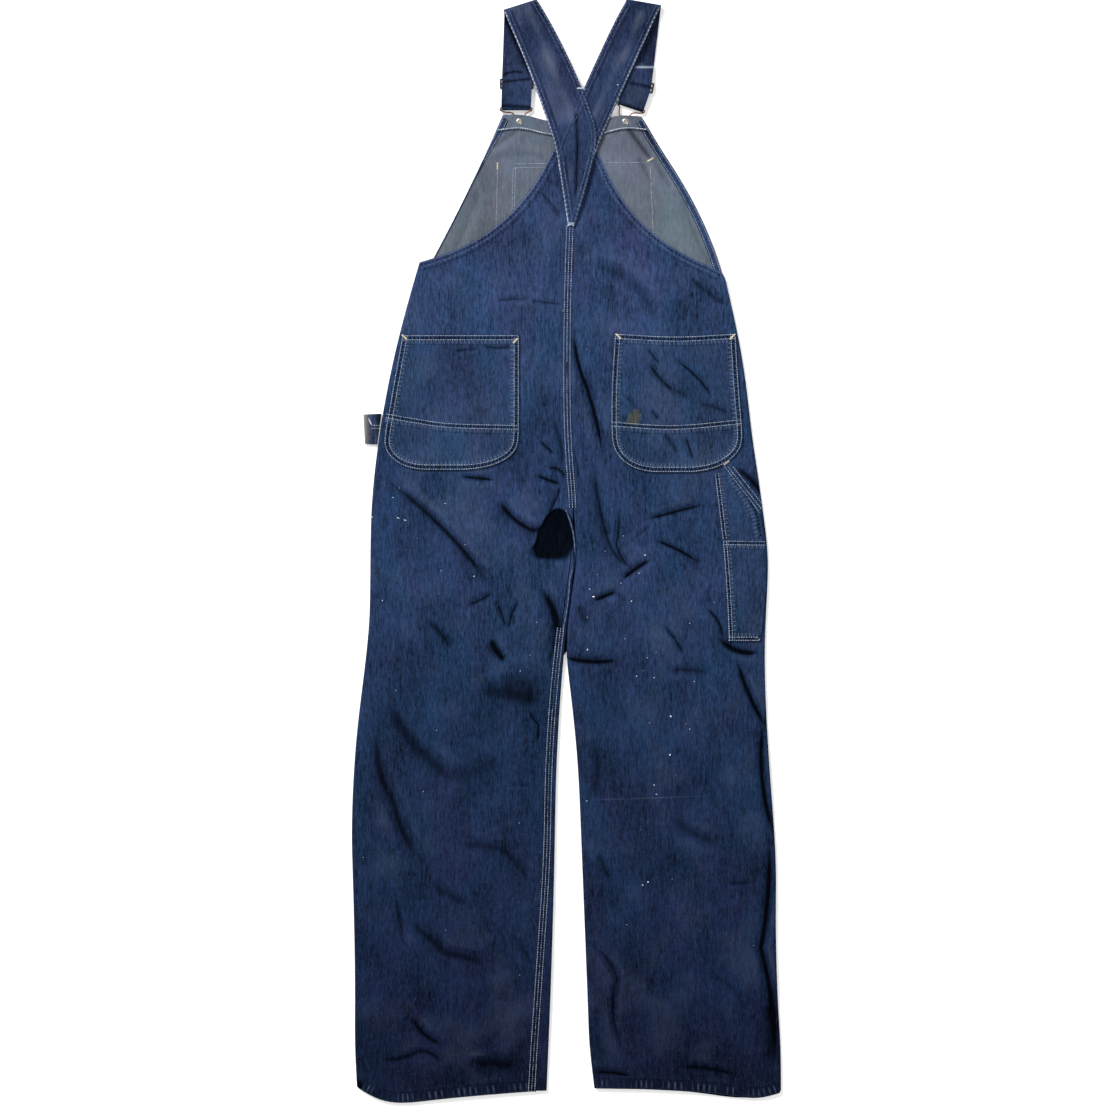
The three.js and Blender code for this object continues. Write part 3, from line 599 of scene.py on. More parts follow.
def into_hollow(x, y):
    """How far each point is inside the rim of the hollow at the crotch, in millimetres."""
    rise = (y - hollow_centre[1]) / hollow_half[1]
    across = (x - hollow_centre[0] - 0.006 * rise) / (hollow_half[0] * (1 - 0.26 * np.clip(rise, -1, 1)))
    off = (np.abs(across) ** 2.6 + np.abs(rise) ** 2.6) ** (1 / 2.6) + 0.07 * rumple(x, y, 0.014, 9)
    return (1 - off) * sum(hollow_half) / 2 / millimetre


def around_line(line, x, y, reach):
    """True for the points that may be within reach of a line."""
    (left, low), (right, high) = line.min(axis=0) - reach, line.max(axis=0) + reach
    return (x > left) & (x < right) & (y > low) & (y < high)


def drape(x, y):
    """How far the cloth of seat and legs stands above or below its plain form, and the shade and highlight
    painted into its colour there.
    """
    height = 0.50 * rumple(x, y, 0.062, 1) + 0.32 * rumple(x, y, 0.027, 2) + 0.14 * rumple(x, y, 0.012, 3)
    # The colour follows the height a little: paler on high places and darker in low ones, partly as wear and
    # partly as painted shade.
    shade = 0.07 * rumple(x, y, 0.030, 4) + 0.12 * height
    for chain, depth, width, dark, dark_width, left, right in creases:
        line = crease_line(chain)
        half = width * millimetre
        near = around_line(line, x, y, 5 * half)
        if not near.any():
            continue
        distance, along = from_line(line, x[near], y[near])
        share = along / np.hypot(*np.diff(line, axis=0).T).sum()
        taper = ease(0, 0.28, share + 0.06) * ease(0, 0.28, 1.06 - share)
        across = distance / half
        left_bank, right_bank = max(left, 0), max(right, 0)
        wall = left_bank * bell((across - 1.8) / 1.1) + right_bank * bell((across + 1.8) / 1.1)
        height[near] += taper * (wall - 0.7 * depth * bell(across))
        # Painted light and shade: a little painted highlight on the banks, a painted dark line and a broad
        # painted shade along the bottom, and painted shadow on a side given below 0.
        shown = 0.10 * left_bank * bell((across - 1.5) / 0.7) + 0.10 * right_bank * bell((across + 1.5) / 0.7)
        shown -= dark * bell(distance / (dark_width * (0.4 + 0.6 * taper) * millimetre))
        shown -= max(0.28 * dark, 0) * bell(across / 1.3)
        shown += min(left, 0) * ease(0, 0.5, across) * bell(across / 2.4)
        shown += min(right, 0) * ease(0, 0.5, -across) * bell(across / 2.4)
        shade[near] += taper * shown
    # The hollow at the crotch is sunk and painted dark, to near black: painted shade.
    soft = np.where(y < hollow_centre[1] - hollow_half[1] / 2, 4.5, 1.3)
    sunken = ease(-soft, soft, into_hollow(x, y))
    height -= hollow_depth * sunken
    shade -= sunken
    return np.maximum(height, lowest) * millimetre, shade


def near_a_crease(x, y, close=False):
    """True where a crease bends the cloth, or with `close` only along the painted dark line at its bottom."""
    found = np.abs(into_hollow(x, y)) < (3 if close else 8)
    for chain, _, width, _, dark_width, _, _ in creases:
        reach = (dark_width + 0.9 if close else 1.1 * width) * millimetre
        line = crease_line(chain, 0.006)
        near = around_line(line, x, y, reach)
        found[near] |= np.abs(from_line(line, x[near], y[near])[0]) < reach
    return found


def refine_creases(piece):
    """Makes a shell's upper side finer where creases bend it, and finer again along their bottoms."""
    refine(piece, near_a_crease)
    refine(piece, lambda x, y: near_a_crease(x, y, close=True))


body_top, body_rolled = 6.2 * millimetre, 1.9 * millimetre
cloth, clearance = 1.2 * millimetre, 1.3 * millimetre


def lay_creases(piece, free=body_rolled):
    """Moves both faces of a shell as the drape says, and the coarser inner one a little lower."""
    points, normals = points_of(piece), normals_of(piece)
    height, shade = drape(points[:, 0], points[:, 1])
    outer = points[:, 2] + np.where(normals[:, 2] < 0, cloth, 0)
    inside = (normals[:, 2] < 0) & near_a_crease(points[:, 0], points[:, 1])
    height[inside] -= clearance
    points[:, 2] += height * ease(free, free + 0.6 * (body_top - body_rolled), outer)
    # Painted shade: where the cloth rolls down at its edges, its colour is painted darker.
    shade -= 0.3 * (1 - ease(free, free + 0.8 * (body_top - body_rolled), outer))
    reshape(piece, points, shade)


outlines = {}
for side in ("left", "right"):
    panel = shell_of(f"back_{side}", f"back_panel_{side}", 2)
    outlines[f"back_{side}"] = outline_of(panel)
    refine(panel, lambda x, y: np.ones(x.shape, bool))
    refine_creases(panel)
    lay_creases(panel)
    panel.data.materials.append(body_denim)
    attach(panel, "root")
    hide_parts(f"back_{side}")
back_left, back_right = (bpy.data.objects[f"back_panel_{side}"] for side in ("left", "right"))


# ---- Front panels ----
# The two front panels lie on the floor under the back. The left one rolls over the inner edge of its leg
# and comes up to the inseam, which has twisted round on to the top.

for side in ("left", "right"):
    panel = shell_of(f"front_{side}", f"front_panel_{side}", 2 if side == "right" else 3)
    points, normals = points_of(panel), normals_of(panel)
    height, shade = drape(points[:, 0], points[:, 1])
    outer = points[:, 2] + np.where(normals[:, 2] < 0, cloth, 0)
    on_top = ease(body_rolled, 0.7 * body_top, outer) * (points[:, 2] > 1.5 * cloth)
    lifted = np.clip(0.5 * height, 0, 0.8 * millimetre) * (points[:, 2] < 1.3 * cloth)
    points[:, 2] += height * on_top + lifted
    # Painted shade: the cloth that lies under the back, not rolled up on top, is painted slightly darker.
    reshape(panel, points, np.where(on_top > 0.01, shade, -0.1))
    panel.data.materials.append(body_denim)
    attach(panel, "root")
    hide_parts(f"front_{side}")
front_left = bpy.data.objects["front_panel_left"]


# ---- Felled seams and stitches ----
# The back seam and the inseam are felled: both edges are folded into each other and sewn flat with three
# rows of white thread. The ridge puckers between the rows, and its high spots have worn pale.

trees = {}
ray_height, straight_down, cloth_level = 0.1, Vector((0, 0, -1)), 0.006


def tree_of(piece):
    if piece.name not in trees:
        mesh = piece.data
        corners = [vertex.co for vertex in mesh.vertices]
        trees[piece.name] = BVHTree.FromPolygons(corners, [face.vertices for face in mesh.polygons])
    return trees[piece.name]


def resting(places, pieces):
    """The height of the uppermost of the pieces at each place in plan."""
    heights = []
    for x, y in places:
        hits = [tree_of(piece).ray_cast(Vector((x, y, ray_height)), straight_down)[0] for piece in pieces]
        found = [hit.z for hit in hits if hit is not None]
        if not found:
            near = [tree_of(piece).find_nearest(Vector((x, y, cloth_level))) for piece in pieces]
            found = [min(near, key=lambda hit: hit[3])[0].z]
        heights.append(max(found))
    return np.array(heights)


def finished(name, points, faces, material, shade=None):
    """A new piece made from points and faces, smooth, on the garment's one body."""
    mesh = bpy.data.meshes.new(name)
    mesh.from_pydata(points, [], faces)
    piece = bpy.data.objects.new(name, mesh)
    bpy.context.collection.objects.link(piece)
    work = bmesh.new()
    work.from_mesh(mesh)
    bmesh.ops.recalc_face_normals(work, faces=work.faces)
    work.to_mesh(mesh)
    work.free()
    mesh.polygons.foreach_set("use_smooth", np.ones(len(mesh.polygons), bool))
    if shade is not None:
        store(mesh, "shade", shade)
        store(mesh, "stain", stain_at(*np.asarray(points)[:, :2].T))
    mesh.materials.append(material)
    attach(piece, "root")
    return piece


sunk = 0.5 * millimetre


def sewn_edge(name, edge, width, profile, on, material, columns=10, pitch=0.0013, narrow=None):
    """Cloth folded and sewn along a line: it runs from the line to `width` on its right, which is minus on
    its left. `profile` gives the height and shade over the cloth below, from the distance in from the
    line and the distance along it, both in millimetres. `narrow` gives the share of the width it has at
    each height up the garment."""
    line = spaced(edge, pitch)
    ways = np.linspace(0.04, 1, columns + 1) * width
    kept = np.ones((len(line), 1)) if narrow is None else narrow(line[:, 1:])
    rails = [beside(line, -way * kept) for way in ways]
    grid = np.stack(rails, axis=1)
    count = len(line)
    ground = resting(grid.reshape(-1, 2), on).reshape(count, columns + 1)
    along = np.arange(count)[:, None] * pitch * 1000
    height, shade = profile(np.abs(ways)[None, :] * 1000 + 0 * along, along + 0 * ways[None, :])
    ends = ease(0, 2, along) * ease(0, 2, along[-1] - along)
    top = np.dstack([grid, ground + height * millimetre * ends - 0.1 * millimetre * (1 - ends)])
    low = np.dstack([grid[:, [0, -1]], ground[:, [0, -1]] - sunk])
    points = np.concatenate([top.reshape(-1, 3), low.reshape(-1, 3)])
    wide = columns + 1

    def upper(i, j):
        return i * wide + j

    def lower(i, j):
        return count * wide + 2 * i + j

    faces = []
    for i in range(count - 1):
        faces += [(upper(i, j), upper(i, j + 1), upper(i + 1, j + 1), upper(i + 1, j))
                  for j in range(columns)]
        faces.append((lower(i, 0), lower(i + 1, 0), lower(i + 1, 1), lower(i, 1)))
        faces.append((upper(i, 0), upper(i + 1, 0), lower(i + 1, 0), lower(i, 0)))
        faces.append((upper(i + 1, columns), upper(i, columns), lower(i, 1), lower(i + 1, 1)))
    for i in (0, count - 1):
        faces.append([upper(i, j) for j in range(wide)] + [lower(i, 1), lower(i, 0)])
    shades = np.concatenate([shade.ravel(), np.zeros(2 * count)])
    return finished(name, points, faces, material, shades)


def wave(along, length, seed):
    """An uneven ripple between 0 and 1 along a seam."""
    drift = np.interp(along, np.arange(0, 2000, 23.0), np.random.default_rng(seed).uniform(-2.2, 2.2, 87))
    return 0.5 + 0.5 * np.sin(2 * math.pi * along / length + drift)


def felled(across, along):
    """A felled seam 11 mm wide: two channels between three rows of stitches, with painted shade in the
    puckered channels and pale wear along the rows.
    """
    height = 0.75 * ease(0, 1.2, across) * ease(11.5, 10.2, across)
    pucker = wave(along, 5.6, 5)
    channel = bell((across - 3.7) / 1.0) + bell((across - 7.7) / 1.0)
    height -= channel * (0.12 + 0.28 * pucker)
    rows = bell((across - 1.6) / 0.8) + bell((across - 5.7) / 0.8) + bell((across - 9.8) / 0.8)
    return height, 0.10 * rows - channel * (0.15 + 0.55 * ease(0.35, 0.9, pucker))


stitch_sides = 5


def stitches(name, rows, on, material, length=2.5, pitch=3.1, thick=0.72):
    """Rows of stitches laid along lines in plan: each is a short thread whose ends dip into the cloth."""
    places, runs = [], []
    for row in rows:
        row = spaced(row, pitch * millimetre)
        if len(row) < 2:
            continue
        places.append((row[1:] + row[:-1]) / 2)
        runs.append(row[1:] - row[:-1])
    places, runs = np.concatenate(places), np.concatenate(runs)
    runs *= (0.5 * length * millimetre / np.hypot(*runs.T))[:, None]
    starts = np.c_[places - runs, resting(places - runs, on)]
    ends = np.c_[places + runs, resting(places + runs, on)]
    mids = np.c_[places, resting(places, on)]
    side = np.c_[-runs[:, 1], runs[:, 0], np.zeros(len(runs))] / (0.5 * length * millimetre)
    up = np.array([0, 0, 1.0])
    radius = thick * millimetre / 2
    rings = []
    for share, lift, girth in ((0.0, -0.5, 0.0), (0.14, 0.35, 0.85), (0.5, 0.75, 1.0),
                               (0.86, 0.35, 0.85), (1.0, -0.5, 0.0)):
        centre = starts + (ends - starts) * share
        centre[:, 2] = np.maximum(centre[:, 2], mids[:, 2] - 0.3 * radius) + lift * radius
        if girth == 0:
            rings.append(centre[:, None, :])
            continue
        turns = np.arange(stitch_sides) * 2 * math.pi / stitch_sides
        rings.append(np.stack([centre + girth * radius * (math.cos(a) * side + math.sin(a) * up)
                               for a in turns], axis=1))
    points = np.concatenate(rings, axis=1)
    size = points.shape[1]
    template = []
    for k in range(stitch_sides):
        onward = (k + 1) % stitch_sides
        template.append((0, 1 + onward, 1 + k))
        for ring in range(2):
            a, b = 1 + ring * stitch_sides, 1 + (ring + 1) * stitch_sides
            template.append((a + k, a + onward, b + onward, b + k))
        template.append((1 + 2 * stitch_sides + k, 1 + 2 * stitch_sides + onward, size - 1))
    faces = [tuple(i * size + v for v in face) for i in range(len(points)) for face in template]
    return finished(name, points.reshape(-1, 3), faces, material)


def mottled(tree, shader, scale, detail, low, high, first, second):
    """Colours a shader with two colours in patches. It returns the places, the noise and the share."""
    place = add_node(tree, "TexCoord").outputs["Object"]
    noise = add_node(tree, "TexNoise", {"Vector": place, "Scale": scale, "Detail": detail}).outputs["Fac"]
    share = add_node(tree, "MapRange", {"Value": noise, "From Min": low, "From Max": high}).outputs[0]
    mix = add_node(tree, "Mix", {0: share, 6: linear(*first), 7: linear(*second)}, data_type="RGBA")
    tree.links.new(mix.outputs[2], shader.inputs["Base Color"])
    return place, noise, share


def thread_material(name, fresh, worn):
    """Cotton thread, soiled and rubbed unevenly along its length, with a fine twist."""
    material, tree, shader = new_material(name)
    place, _, _ = mottled(tree, shader, 260.0, 3.0, 0.36, 0.64, worn, fresh)
    twist = add_node(tree, "TexNoise", {"Vector": place, "Scale": 3200.0, "Detail": 1.0}).outputs["Fac"]
    emboss(tree, shader, twist, 0.4, 0.0002)
    shader.inputs["Roughness"].default_value = 0.8
    shader.inputs["Specular IOR Level"].default_value = 0.15
    return material


white_thread = thread_material("white thread", (206, 212, 222), (128, 142, 168))
gold_thread = thread_material("gold thread", (222, 206, 168), (190, 180, 150))

# The back seam follows the inner edge of the left panel, from the point of the straps to the crotch, and
# the inseam goes on down the left leg.
back_seam = stretch(outlines["back_left"], (-0.001, 0.430), (0.001, 0.265), (0.001, 0.056))
inseam = stretch(outlines["back_left"], (-0.008, -0.105), (-0.026, -0.302), (-0.048, -0.712))
half_seam, seam_width = 5.7 * millimetre, 11.5 * millimetre
panels = [back_left, back_right, front_left]
centre_seam = sewn_edge("centre_back_seam", beside(spaced(back_seam, line_pitch), -half_seam), -seam_width,
                        felled, panels, body_denim)
leg_seam = sewn_edge("left_inseam", beside(spaced(inseam, line_pitch), -half_seam), -seam_width,
                     felled, panels, body_denim)
seam_rows = [beside(spaced(line, line_pitch), shift * millimetre)
             for line in (back_seam, inseam) for shift in (-4.1, 0, 4.1)]
stitches("seam_stitches", seam_rows, panels + [centre_seam, leg_seam], white_thread)

# Between the two, the cloth of the crotch is tucked down in shadow, and only one thin rubbed edge of the
# seam stands up out of it.
tuck_rows = np.linspace(0.061, -0.147, 27)
tuck_right = 0.019 - 0.029 * ease(-0.100, -0.150, tuck_rows)
tuck_points = [(x, y, z) for y, right in zip(tuck_rows, tuck_right)
               for x, z in ((-0.012, 0.0013), (right, 0.0013), (right, 0.0019), (-0.012, 0.0019))]
tuck_faces = [(4 * i + k, 4 * i + (k + 1) % 4, 4 * i + 4 + (k + 1) % 4, 4 * i + 4 + k)
              for i in range(len(tuck_rows) - 1) for k in range(4)]
tuck_faces += [(0, 1, 2, 3), tuple(4 * len(tuck_rows) - 4 + k for k in range(4))]
# The tucked cloth is a strip painted almost black all over: painted shadow.
crotch_tuck = finished("crotch_tuck", tuck_points, tuck_faces, body_denim,
                       np.full(len(tuck_points), -0.9))


def rubbed_edge(across, along):
    """The edge of a seam seen end on, pale where it has rubbed, with a painted shadow along its right."""
    worn = 0.55 + 0.35 * wave(along, 9.0, 6)
    shade = worn * bell((across - 1.5) / 0.8) - 0.6 * bell((across - 3.2) / 0.9)
    return 0.8 * bell((across - 1.5) / 1.1), shade


crotch_edge = crease_line([(-4, 54), 9, (1, -38), 2, (-9, -108)])
sewn_edge("crotch_seam", crotch_edge, -3.6 * millimetre, rubbed_edge, panels + [crotch_tuck], body_denim)


# ---- Leg hems ----
# Each leg is turned up twice and sewn. Washing has roped the hem: it stands in slanting ridges whose
# crests have faded, and the very edge has worn to bare tan cotton.

def roped(across, along):
    """A roped hem 15 mm tall: its crests faded and its very edge worn pale, with painted shade between the
    ridges and along the valley of its fold.
    """
    ridge = wave(along + 0.08 * across, 7.4, 8) ** 3 * (0.35 + 0.65 * wave(along, 43.0, 12))
    height = 0.7 * ease(0, 1.5, across) * ease(17, 13.5, across)
    height += 0.45 * ridge * bell((across - 8) / 5)
    valley = bell((across - 14) / 1.2)
    shade = 0.55 * ridge * bell((across - 7.5) / 5) - 0.25 * (1 - ridge) * bell((across - 8) / 5)
    shade += 0.5 * bell(across / 0.9) - 0.35 * valley
    return height - 0.3 * valley, shade


for side, ends in (("left", ((-0.274, -0.712), (-0.168, -0.727), (-0.050, -0.714))),
                   ("right", ((0.037, -0.710), (0.150, -0.713), (0.279, -0.715)))):
    hem = stretch(outlines[f"back_{side}"], *ends)
    panel = back_left if side == "left" else back_right
    sewn_edge(f"hem_{side}", hem, -17 * millimetre, roped, [panel], body_denim)


# ---- Bib ----
# The bib lies with its inner face up, so that the grey weft side of the denim shows. Its sides are turned
# in as narrow blue hems, and its top is turned in under a line of thick white chain stitch.

bib_tones = [(0.33, (85, 92, 104)), (0.42, (88, 96, 106)), (0.50, (87, 93, 107)), (0.58, (89, 94, 108))]
bib_denim = denim_cloth("bib denim inside", bib_tones, (160, 166, 176), streaks=0.35, mottle=0.7)

bib_creases = [
    ([(0.081, 0.557), (0.093, 0.541), (0.107, 0.522)], 5, 0.7),
    ([(0.094, 0.517), (0.102, 0.505), (0.109, 0.490)], 5, 0.35),
    ([(0.113, 0.517), (0.124, 0.500), (0.134, 0.484)], 5, 0.35),
    ([(-0.070, 0.553), (-0.082, 0.546), (-0.095, 0.536)], 5, 0.3),
    ([(-0.095, 0.522), (-0.064, 0.526), (-0.034, 0.523)], 7, 0.18),
    ([(0.150, 0.470), (0.168, 0.420), (0.185, 0.385)], 6, 0.25),
    ([(-0.120, 0.470), (-0.140, 0.420), (-0.160, 0.380)], 7, 0.2),
]


def bib_drape(x, y):
    """The bib is nearly flat: soft unevenness, and a few creases from its top corners, each a painted shade
    line with a little painted highlight beside it.
    """
    height = 0.35 + 0.2 * rumple(x, y, 0.045, 11) + 0.12 * rumple(x, y, 0.018, 12)
    shade = 0.10 * rumple(x, y, 0.034, 13)
    for points, width, shadow in bib_creases:
        distance, _ = from_line(curved(points), x, y)
        across = distance / (width * millimetre)
        height += 0.5 * bell(across - 1.3) + 0.4 * bell(across + 1.3) - 0.35 * bell(across)
        shade += 0.10 * bell(across - 1.2) - shadow * bell(across / 0.6)
    return np.maximum(height, 0) * millimetre, shade


for node, name, fineness in (("bib", "bib_panel", 3), ("bib_facing", "bib_top_facing", 3)):
    panel = shell_of(node, name, fineness)
    outlines[node] = outline_of(panel)
    points = points_of(panel)
    height, shade = bib_drape(points[:, 0], points[:, 1])
    points[:, 2] += height
    reshape(panel, points, shade)
    panel.data.materials.append(bib_denim)
    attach(panel, "root")
    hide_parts(node)
bib, facing = bpy.data.objects["bib_panel"], bpy.data.objects["bib_top_facing"]

pocket = shell_of("bib_pocket", "bib_front_pocket", 3)
reshape(pocket, points_of(pocket), np.zeros(len(pocket.data.vertices)))
pocket.data.materials.append(body_denim)
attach(pocket, "root")
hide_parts("bib_pocket")


def side_hem(across, along):
    """A narrow turned hem, sewn near both of its edges: pale at its worn edge, with painted shade in its
    dimples and a painted shadow along its inner edge.
    """
    height = 0.9 * ease(0, 1.2, across) * ease(10.5, 9.2, across)
    pucker = wave(along, 5.5, 17)
    height -= 0.25 * pucker * bell((across - 4.8) / 1.6)
    shade = 0.35 * bell((across - 0.4) / 0.8) - 0.3 * ease(0.3, 0.9, pucker) * bell((across - 4.8) / 1.5)
    return height, shade - 0.5 * bell((across - 10.2) / 0.9)


strap_tones = [(0.30, (42, 57, 90)), (0.42, (42, 57, 88)), (0.55, (39, 50, 78)), (0.74, (36, 46, 74))]
strap_denim = denim_cloth("strap denim", strap_tones, (188, 198, 216), streaks=0.8, mottle=1.3)


def left_narrows(up):
    """The left side hem runs out downwards, to a thin edge from its middle on."""
    return 0.15 + 0.15 * ease(0.490, 0.510, up) + 0.70 * ease(0.510, 0.573, up)


bib_rows = []
for side, ends, width in (("left", ((-0.203, 0.344), (-0.146, 0.447), (-0.087, 0.574)), 10),
                          ("right", ((0.211, 0.344), (0.174, 0.447), (0.099, 0.571)), -10)):
    edge = stretch(outlines["bib"], *ends)
    sewn_edge(f"bib_hem_{side}", edge, width * millimetre, side_hem, [bib, facing], strap_denim,
              narrow=left_narrows if side == "left" else None)
    edge = spaced(edge[edge[:, 1] > (0.515 if side == "left" else 0)], line_pitch)
    inner = 8.4 * (left_narrows(edge[:, 1:]) if side == "left" else np.ones((len(edge), 1)))
    turned = -math.copysign(1, width)
    bib_rows += [beside(edge, turned * inset * millimetre) for inset in (0.26 * inner, inner)]
bib_hems = [bpy.data.objects[f"bib_hem_{side}"] for side in ("left", "right")]
top_low = stretch(outlines["bib_facing"], (-0.092, 0.556), (0.013, 0.549), (0.103, 0.556))
if top_low[:, 1].mean() > 0.556:
    raise ValueError("the facing's lower edge was looked for on its upper one")
chain_row = beside(spaced(top_low, line_pitch), 1.6 * millimetre * (1 if top_low[0, 0] < 0 else -1))
pocket_rows = [[(-0.093, 0.509), (-0.095, 0.417)], [(-0.072, 0.507), (-0.075, 0.417)],
               [(-0.069, 0.507), (-0.072, 0.417)], [(-0.072, 0.512), (-0.018, 0.513)],
               [(-0.071, 0.507), (-0.020, 0.508)], [(0.044, 0.514), (0.108, 0.514)],
               [(0.109, 0.509), (0.113, 0.417)]]
bib_layers = [bib, facing] + bib_hems
stitches("bib_stitches", bib_rows + [curved(row) for row in pocket_rows], bib_layers, white_thread, thick=0.6)
stitches("facing_chain_stitch", [chain_row], bib_layers, white_thread, length=3.3, pitch=3.2, thick=1.5)


# ---- Back pockets ----
# Two patch pockets with round bottoms and a lined lower part. The top hem, the sides and the seam across
# are each sewn with two rows of white thread, and a gold bartack holds each top corner.

pocket_tones = [(-0.14, (32, 47, 74)), (0.02, (37, 53, 82)), (0.13, (37, 53, 81)), (0.28, (36, 52, 82))]
pocket_denim = denim_cloth("pocket denim", pocket_tones, (134, 149, 176))


def welt(across, along):
    """A folded edge with two rows of stitches: painted shade in the dimples between them, pale worn puckers
    inside them, and a faint painted shadow line within.
    """
    height = 0.62 * ease(0, 1.0, across) * ease(9.5, 6.6, across)
    pucker = wave(along, 5.2, 23)
    dimple = bell((across - 4.2) / 1.4) * ease(0.15, 0.6, pucker)
    tick = bell((across - 9.2) / 2.8) * ease(0.45, 1.0, wave(along, 5.4, 29))
    height += 0.30 * tick - 0.38 * dimple
    shade = 0.6 * tick - 1.2 * dimple + 0.35 * bell((across - 0.5) / 0.7)
    return height, shade - 0.12 * bell((across - 7.6) / 0.8)


def seam_across(across, along):
    """Two rows of stitches over a ridge, 8 mm wide, with painted shade in the dimples between them and pale
    worn puckers beside them.
    """
    height = 0.55 * ease(0, 1.6, across) * ease(13, 6.5, across)
    pucker = wave(along, 5.0, 31)
    dimple = bell((across - 4.1) / 1.3) * ease(0.15, 0.6, pucker)
    tick = bell((across - 9.2) / 2.6) * ease(0.5, 1.0, wave(along, 5.3, 37))
    return height + 0.28 * tick - 0.32 * dimple, 0.5 * tick - 1.1 * dimple


def pocket_shell(node, name):
    """A patch pocket that follows the creases of the panel under it."""
    made = shell_of(node, name, 3)
    outlines[node] = outline_of(made)
    refine_creases(made)
    lay_creases(made, 2.2 * millimetre)
    made.data.materials.append(pocket_denim)
    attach(made, "root")
    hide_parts(node)
    return made


def corner_tack(place, angle):
    """The threads of a bartack: short stitches side by side across a slanting line."""
    x, y = place
    dx, dy = math.cos(math.radians(angle)), math.sin(math.radians(angle))
    half = 0.9 * millimetre
    steps = np.linspace(-4.2, 4.2, 13) * millimetre
    return [np.array([(x + s * dx - half * dy, y + s * dy + half * dx),
                      (x + s * dx + half * dy, y + s * dy - half * dx)]) for s in steps]


pocket_places = {
    "left": dict(top=((-0.220, 0.287), (-0.140, 0.285), (-0.065, 0.282)), low=(-0.150, 0.107),
                 across=[(-0.2405, 0.179), (-0.200, 0.172), (-0.155, 0.166), (-0.066, 0.1635)]),
    "right": dict(top=((0.0625, 0.288), (0.140, 0.284), (0.221, 0.287)), low=(0.140, 0.104),
                  across=[(0.0575, 0.168), (0.140, 0.1635), (0.229, 0.171)]),
}
tack_rows = []
welt_width, welt_rows = 13 * millimetre, (1.4, 6.9)
for side, places in pocket_places.items():
    node = f"back_pocket_{side}"
    pocket = pocket_shell(node, f"{node}_patch")
    loop = outlines[node]
    first, _, last = places["top"]
    top = stretch(loop, *places["top"])
    round_edge = stretch(loop, first, places["low"], last)
    seam = beside(curved(places["across"]), 4 * millimetre)
    over = [sewn_edge(f"{node}_{part}", line, width, profile, [pocket], pocket_denim)
            for part, line, width, profile in (("edge", round_edge, -welt_width, welt),
                                               ("hem", top, welt_width, welt),
                                               ("seam", seam, welt_width, seam_across))]
    rows = [beside(spaced(round_edge, row_pitch), inset * millimetre) for inset in welt_rows]
    rows += [beside(spaced(top, row_pitch), -inset * millimetre) for inset in welt_rows]
    rows += [beside(seam, -inset * millimetre) for inset in (1.6, 6.6)]
    stitches(f"{node}_stitches", rows, [pocket] + over, white_thread)
    tack_rows += corner_tack((first[0] + 0.004, first[1] - 0.004), -45)
    tack_rows += corner_tack((last[0] - 0.004, last[1] - 0.004), 45)


# ---- Tool pocket ----
# Two stages on the right leg: a slanted mouth with three rows of thread, and a long pocket below it. The
# pocket wraps round the side seam on the real garment, and its sides are sewn with double rows.

upper_pocket = pocket_shell("tool_pocket_upper", "tool_pocket_mouth")
lower_pocket = pocket_shell("tool_pocket_lower", "tool_pocket_well")
upper_edge, lower_edge = outlines["tool_pocket_upper"], outlines["tool_pocket_lower"]
mouth = stretch(upper_edge, (0.217, 0.108), (0.243, 0.075), (0.259, 0.020))
upper_side = stretch(upper_edge, (0.1925, 0.102), (0.199, 0.058), (0.204, 0.015))
lower_side = stretch(lower_edge, (0.204, 0.011), (0.2085, -0.050), (0.212, -0.121))
lower_foot = stretch(lower_edge, (0.2125, -0.1215), (0.235, -0.1195), (0.253, -0.117))
shelf = curved([(0.2045, 0.015), (0.232, 0.0148), (0.2605, 0.0145)])
side_width = 11 * millimetre
tool_edges = [sewn_edge(f"tool_pocket_{part}", line, width, profile, on, pocket_denim)
              for part, line, width, profile, on in (
                  ("slant", mouth, welt_width, welt, [upper_pocket]),
                  ("side_upper", upper_side, -side_width, welt, [upper_pocket]),
                  ("side_lower", lower_side, -side_width, welt, [lower_pocket]),
                  ("foot", lower_foot, -side_width, welt, [lower_pocket]),
                  ("shelf", shelf, 12 * millimetre, seam_across, [upper_pocket, lower_pocket]))]
tool_rows = [[(0.218, 0.112), (0.258, 0.061)], [(0.211, 0.112), (0.256, 0.056)],
             [(0.207, 0.112), (0.254, 0.050)]]
for side in (upper_side, lower_side, lower_foot):
    tool_rows += [beside(spaced(side, row_pitch), inset * millimetre) for inset in (1.4, 5.6)]
tool_rows += [beside(shelf, -inset * millimetre) for inset in (1.6, 6.4)]
stitches("tool_pocket_stitches", tool_rows, [back_right, upper_pocket, lower_pocket] + tool_edges,
         white_thread)
tack_rows += corner_tack((0.2095, 0.1165), 40)


# ---- Hammer loop ----
# A narrow strap folded in two and caught in the left side seam, worn to brown cotton at its fold. Two
# short rows of white thread and a tack hold it.

loop_tones = [(0.13, (40, 52, 80)), (0.16, (52, 62, 86)), (0.20, (40, 52, 80))]
loop_denim = denim_cloth("loop denim", loop_tones, (150, 142, 128), mottle=1.6)
loop = shell_of("hammer_loop", "hammer_loop_strap", 3)
points = points_of(loop)
worn = ease(-0.258, -0.270, points[:, 0])
dark = 0.75 * ease(-0.256, -0.249, points[:, 0])
reshape(loop, points, 0.9 * worn - dark)
loop.data.materials.append(loop_denim)
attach(loop, "root")
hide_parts("hammer_loop")
stitches("hammer_loop_stitches", [curved([(-0.260, 0.1665), (-0.248, 0.1665)]),
                                  curved([(-0.260, 0.1625), (-0.248, 0.1625)])], [loop], white_thread)
loop_tack = corner_tack((-0.2615, 0.1715), 115)


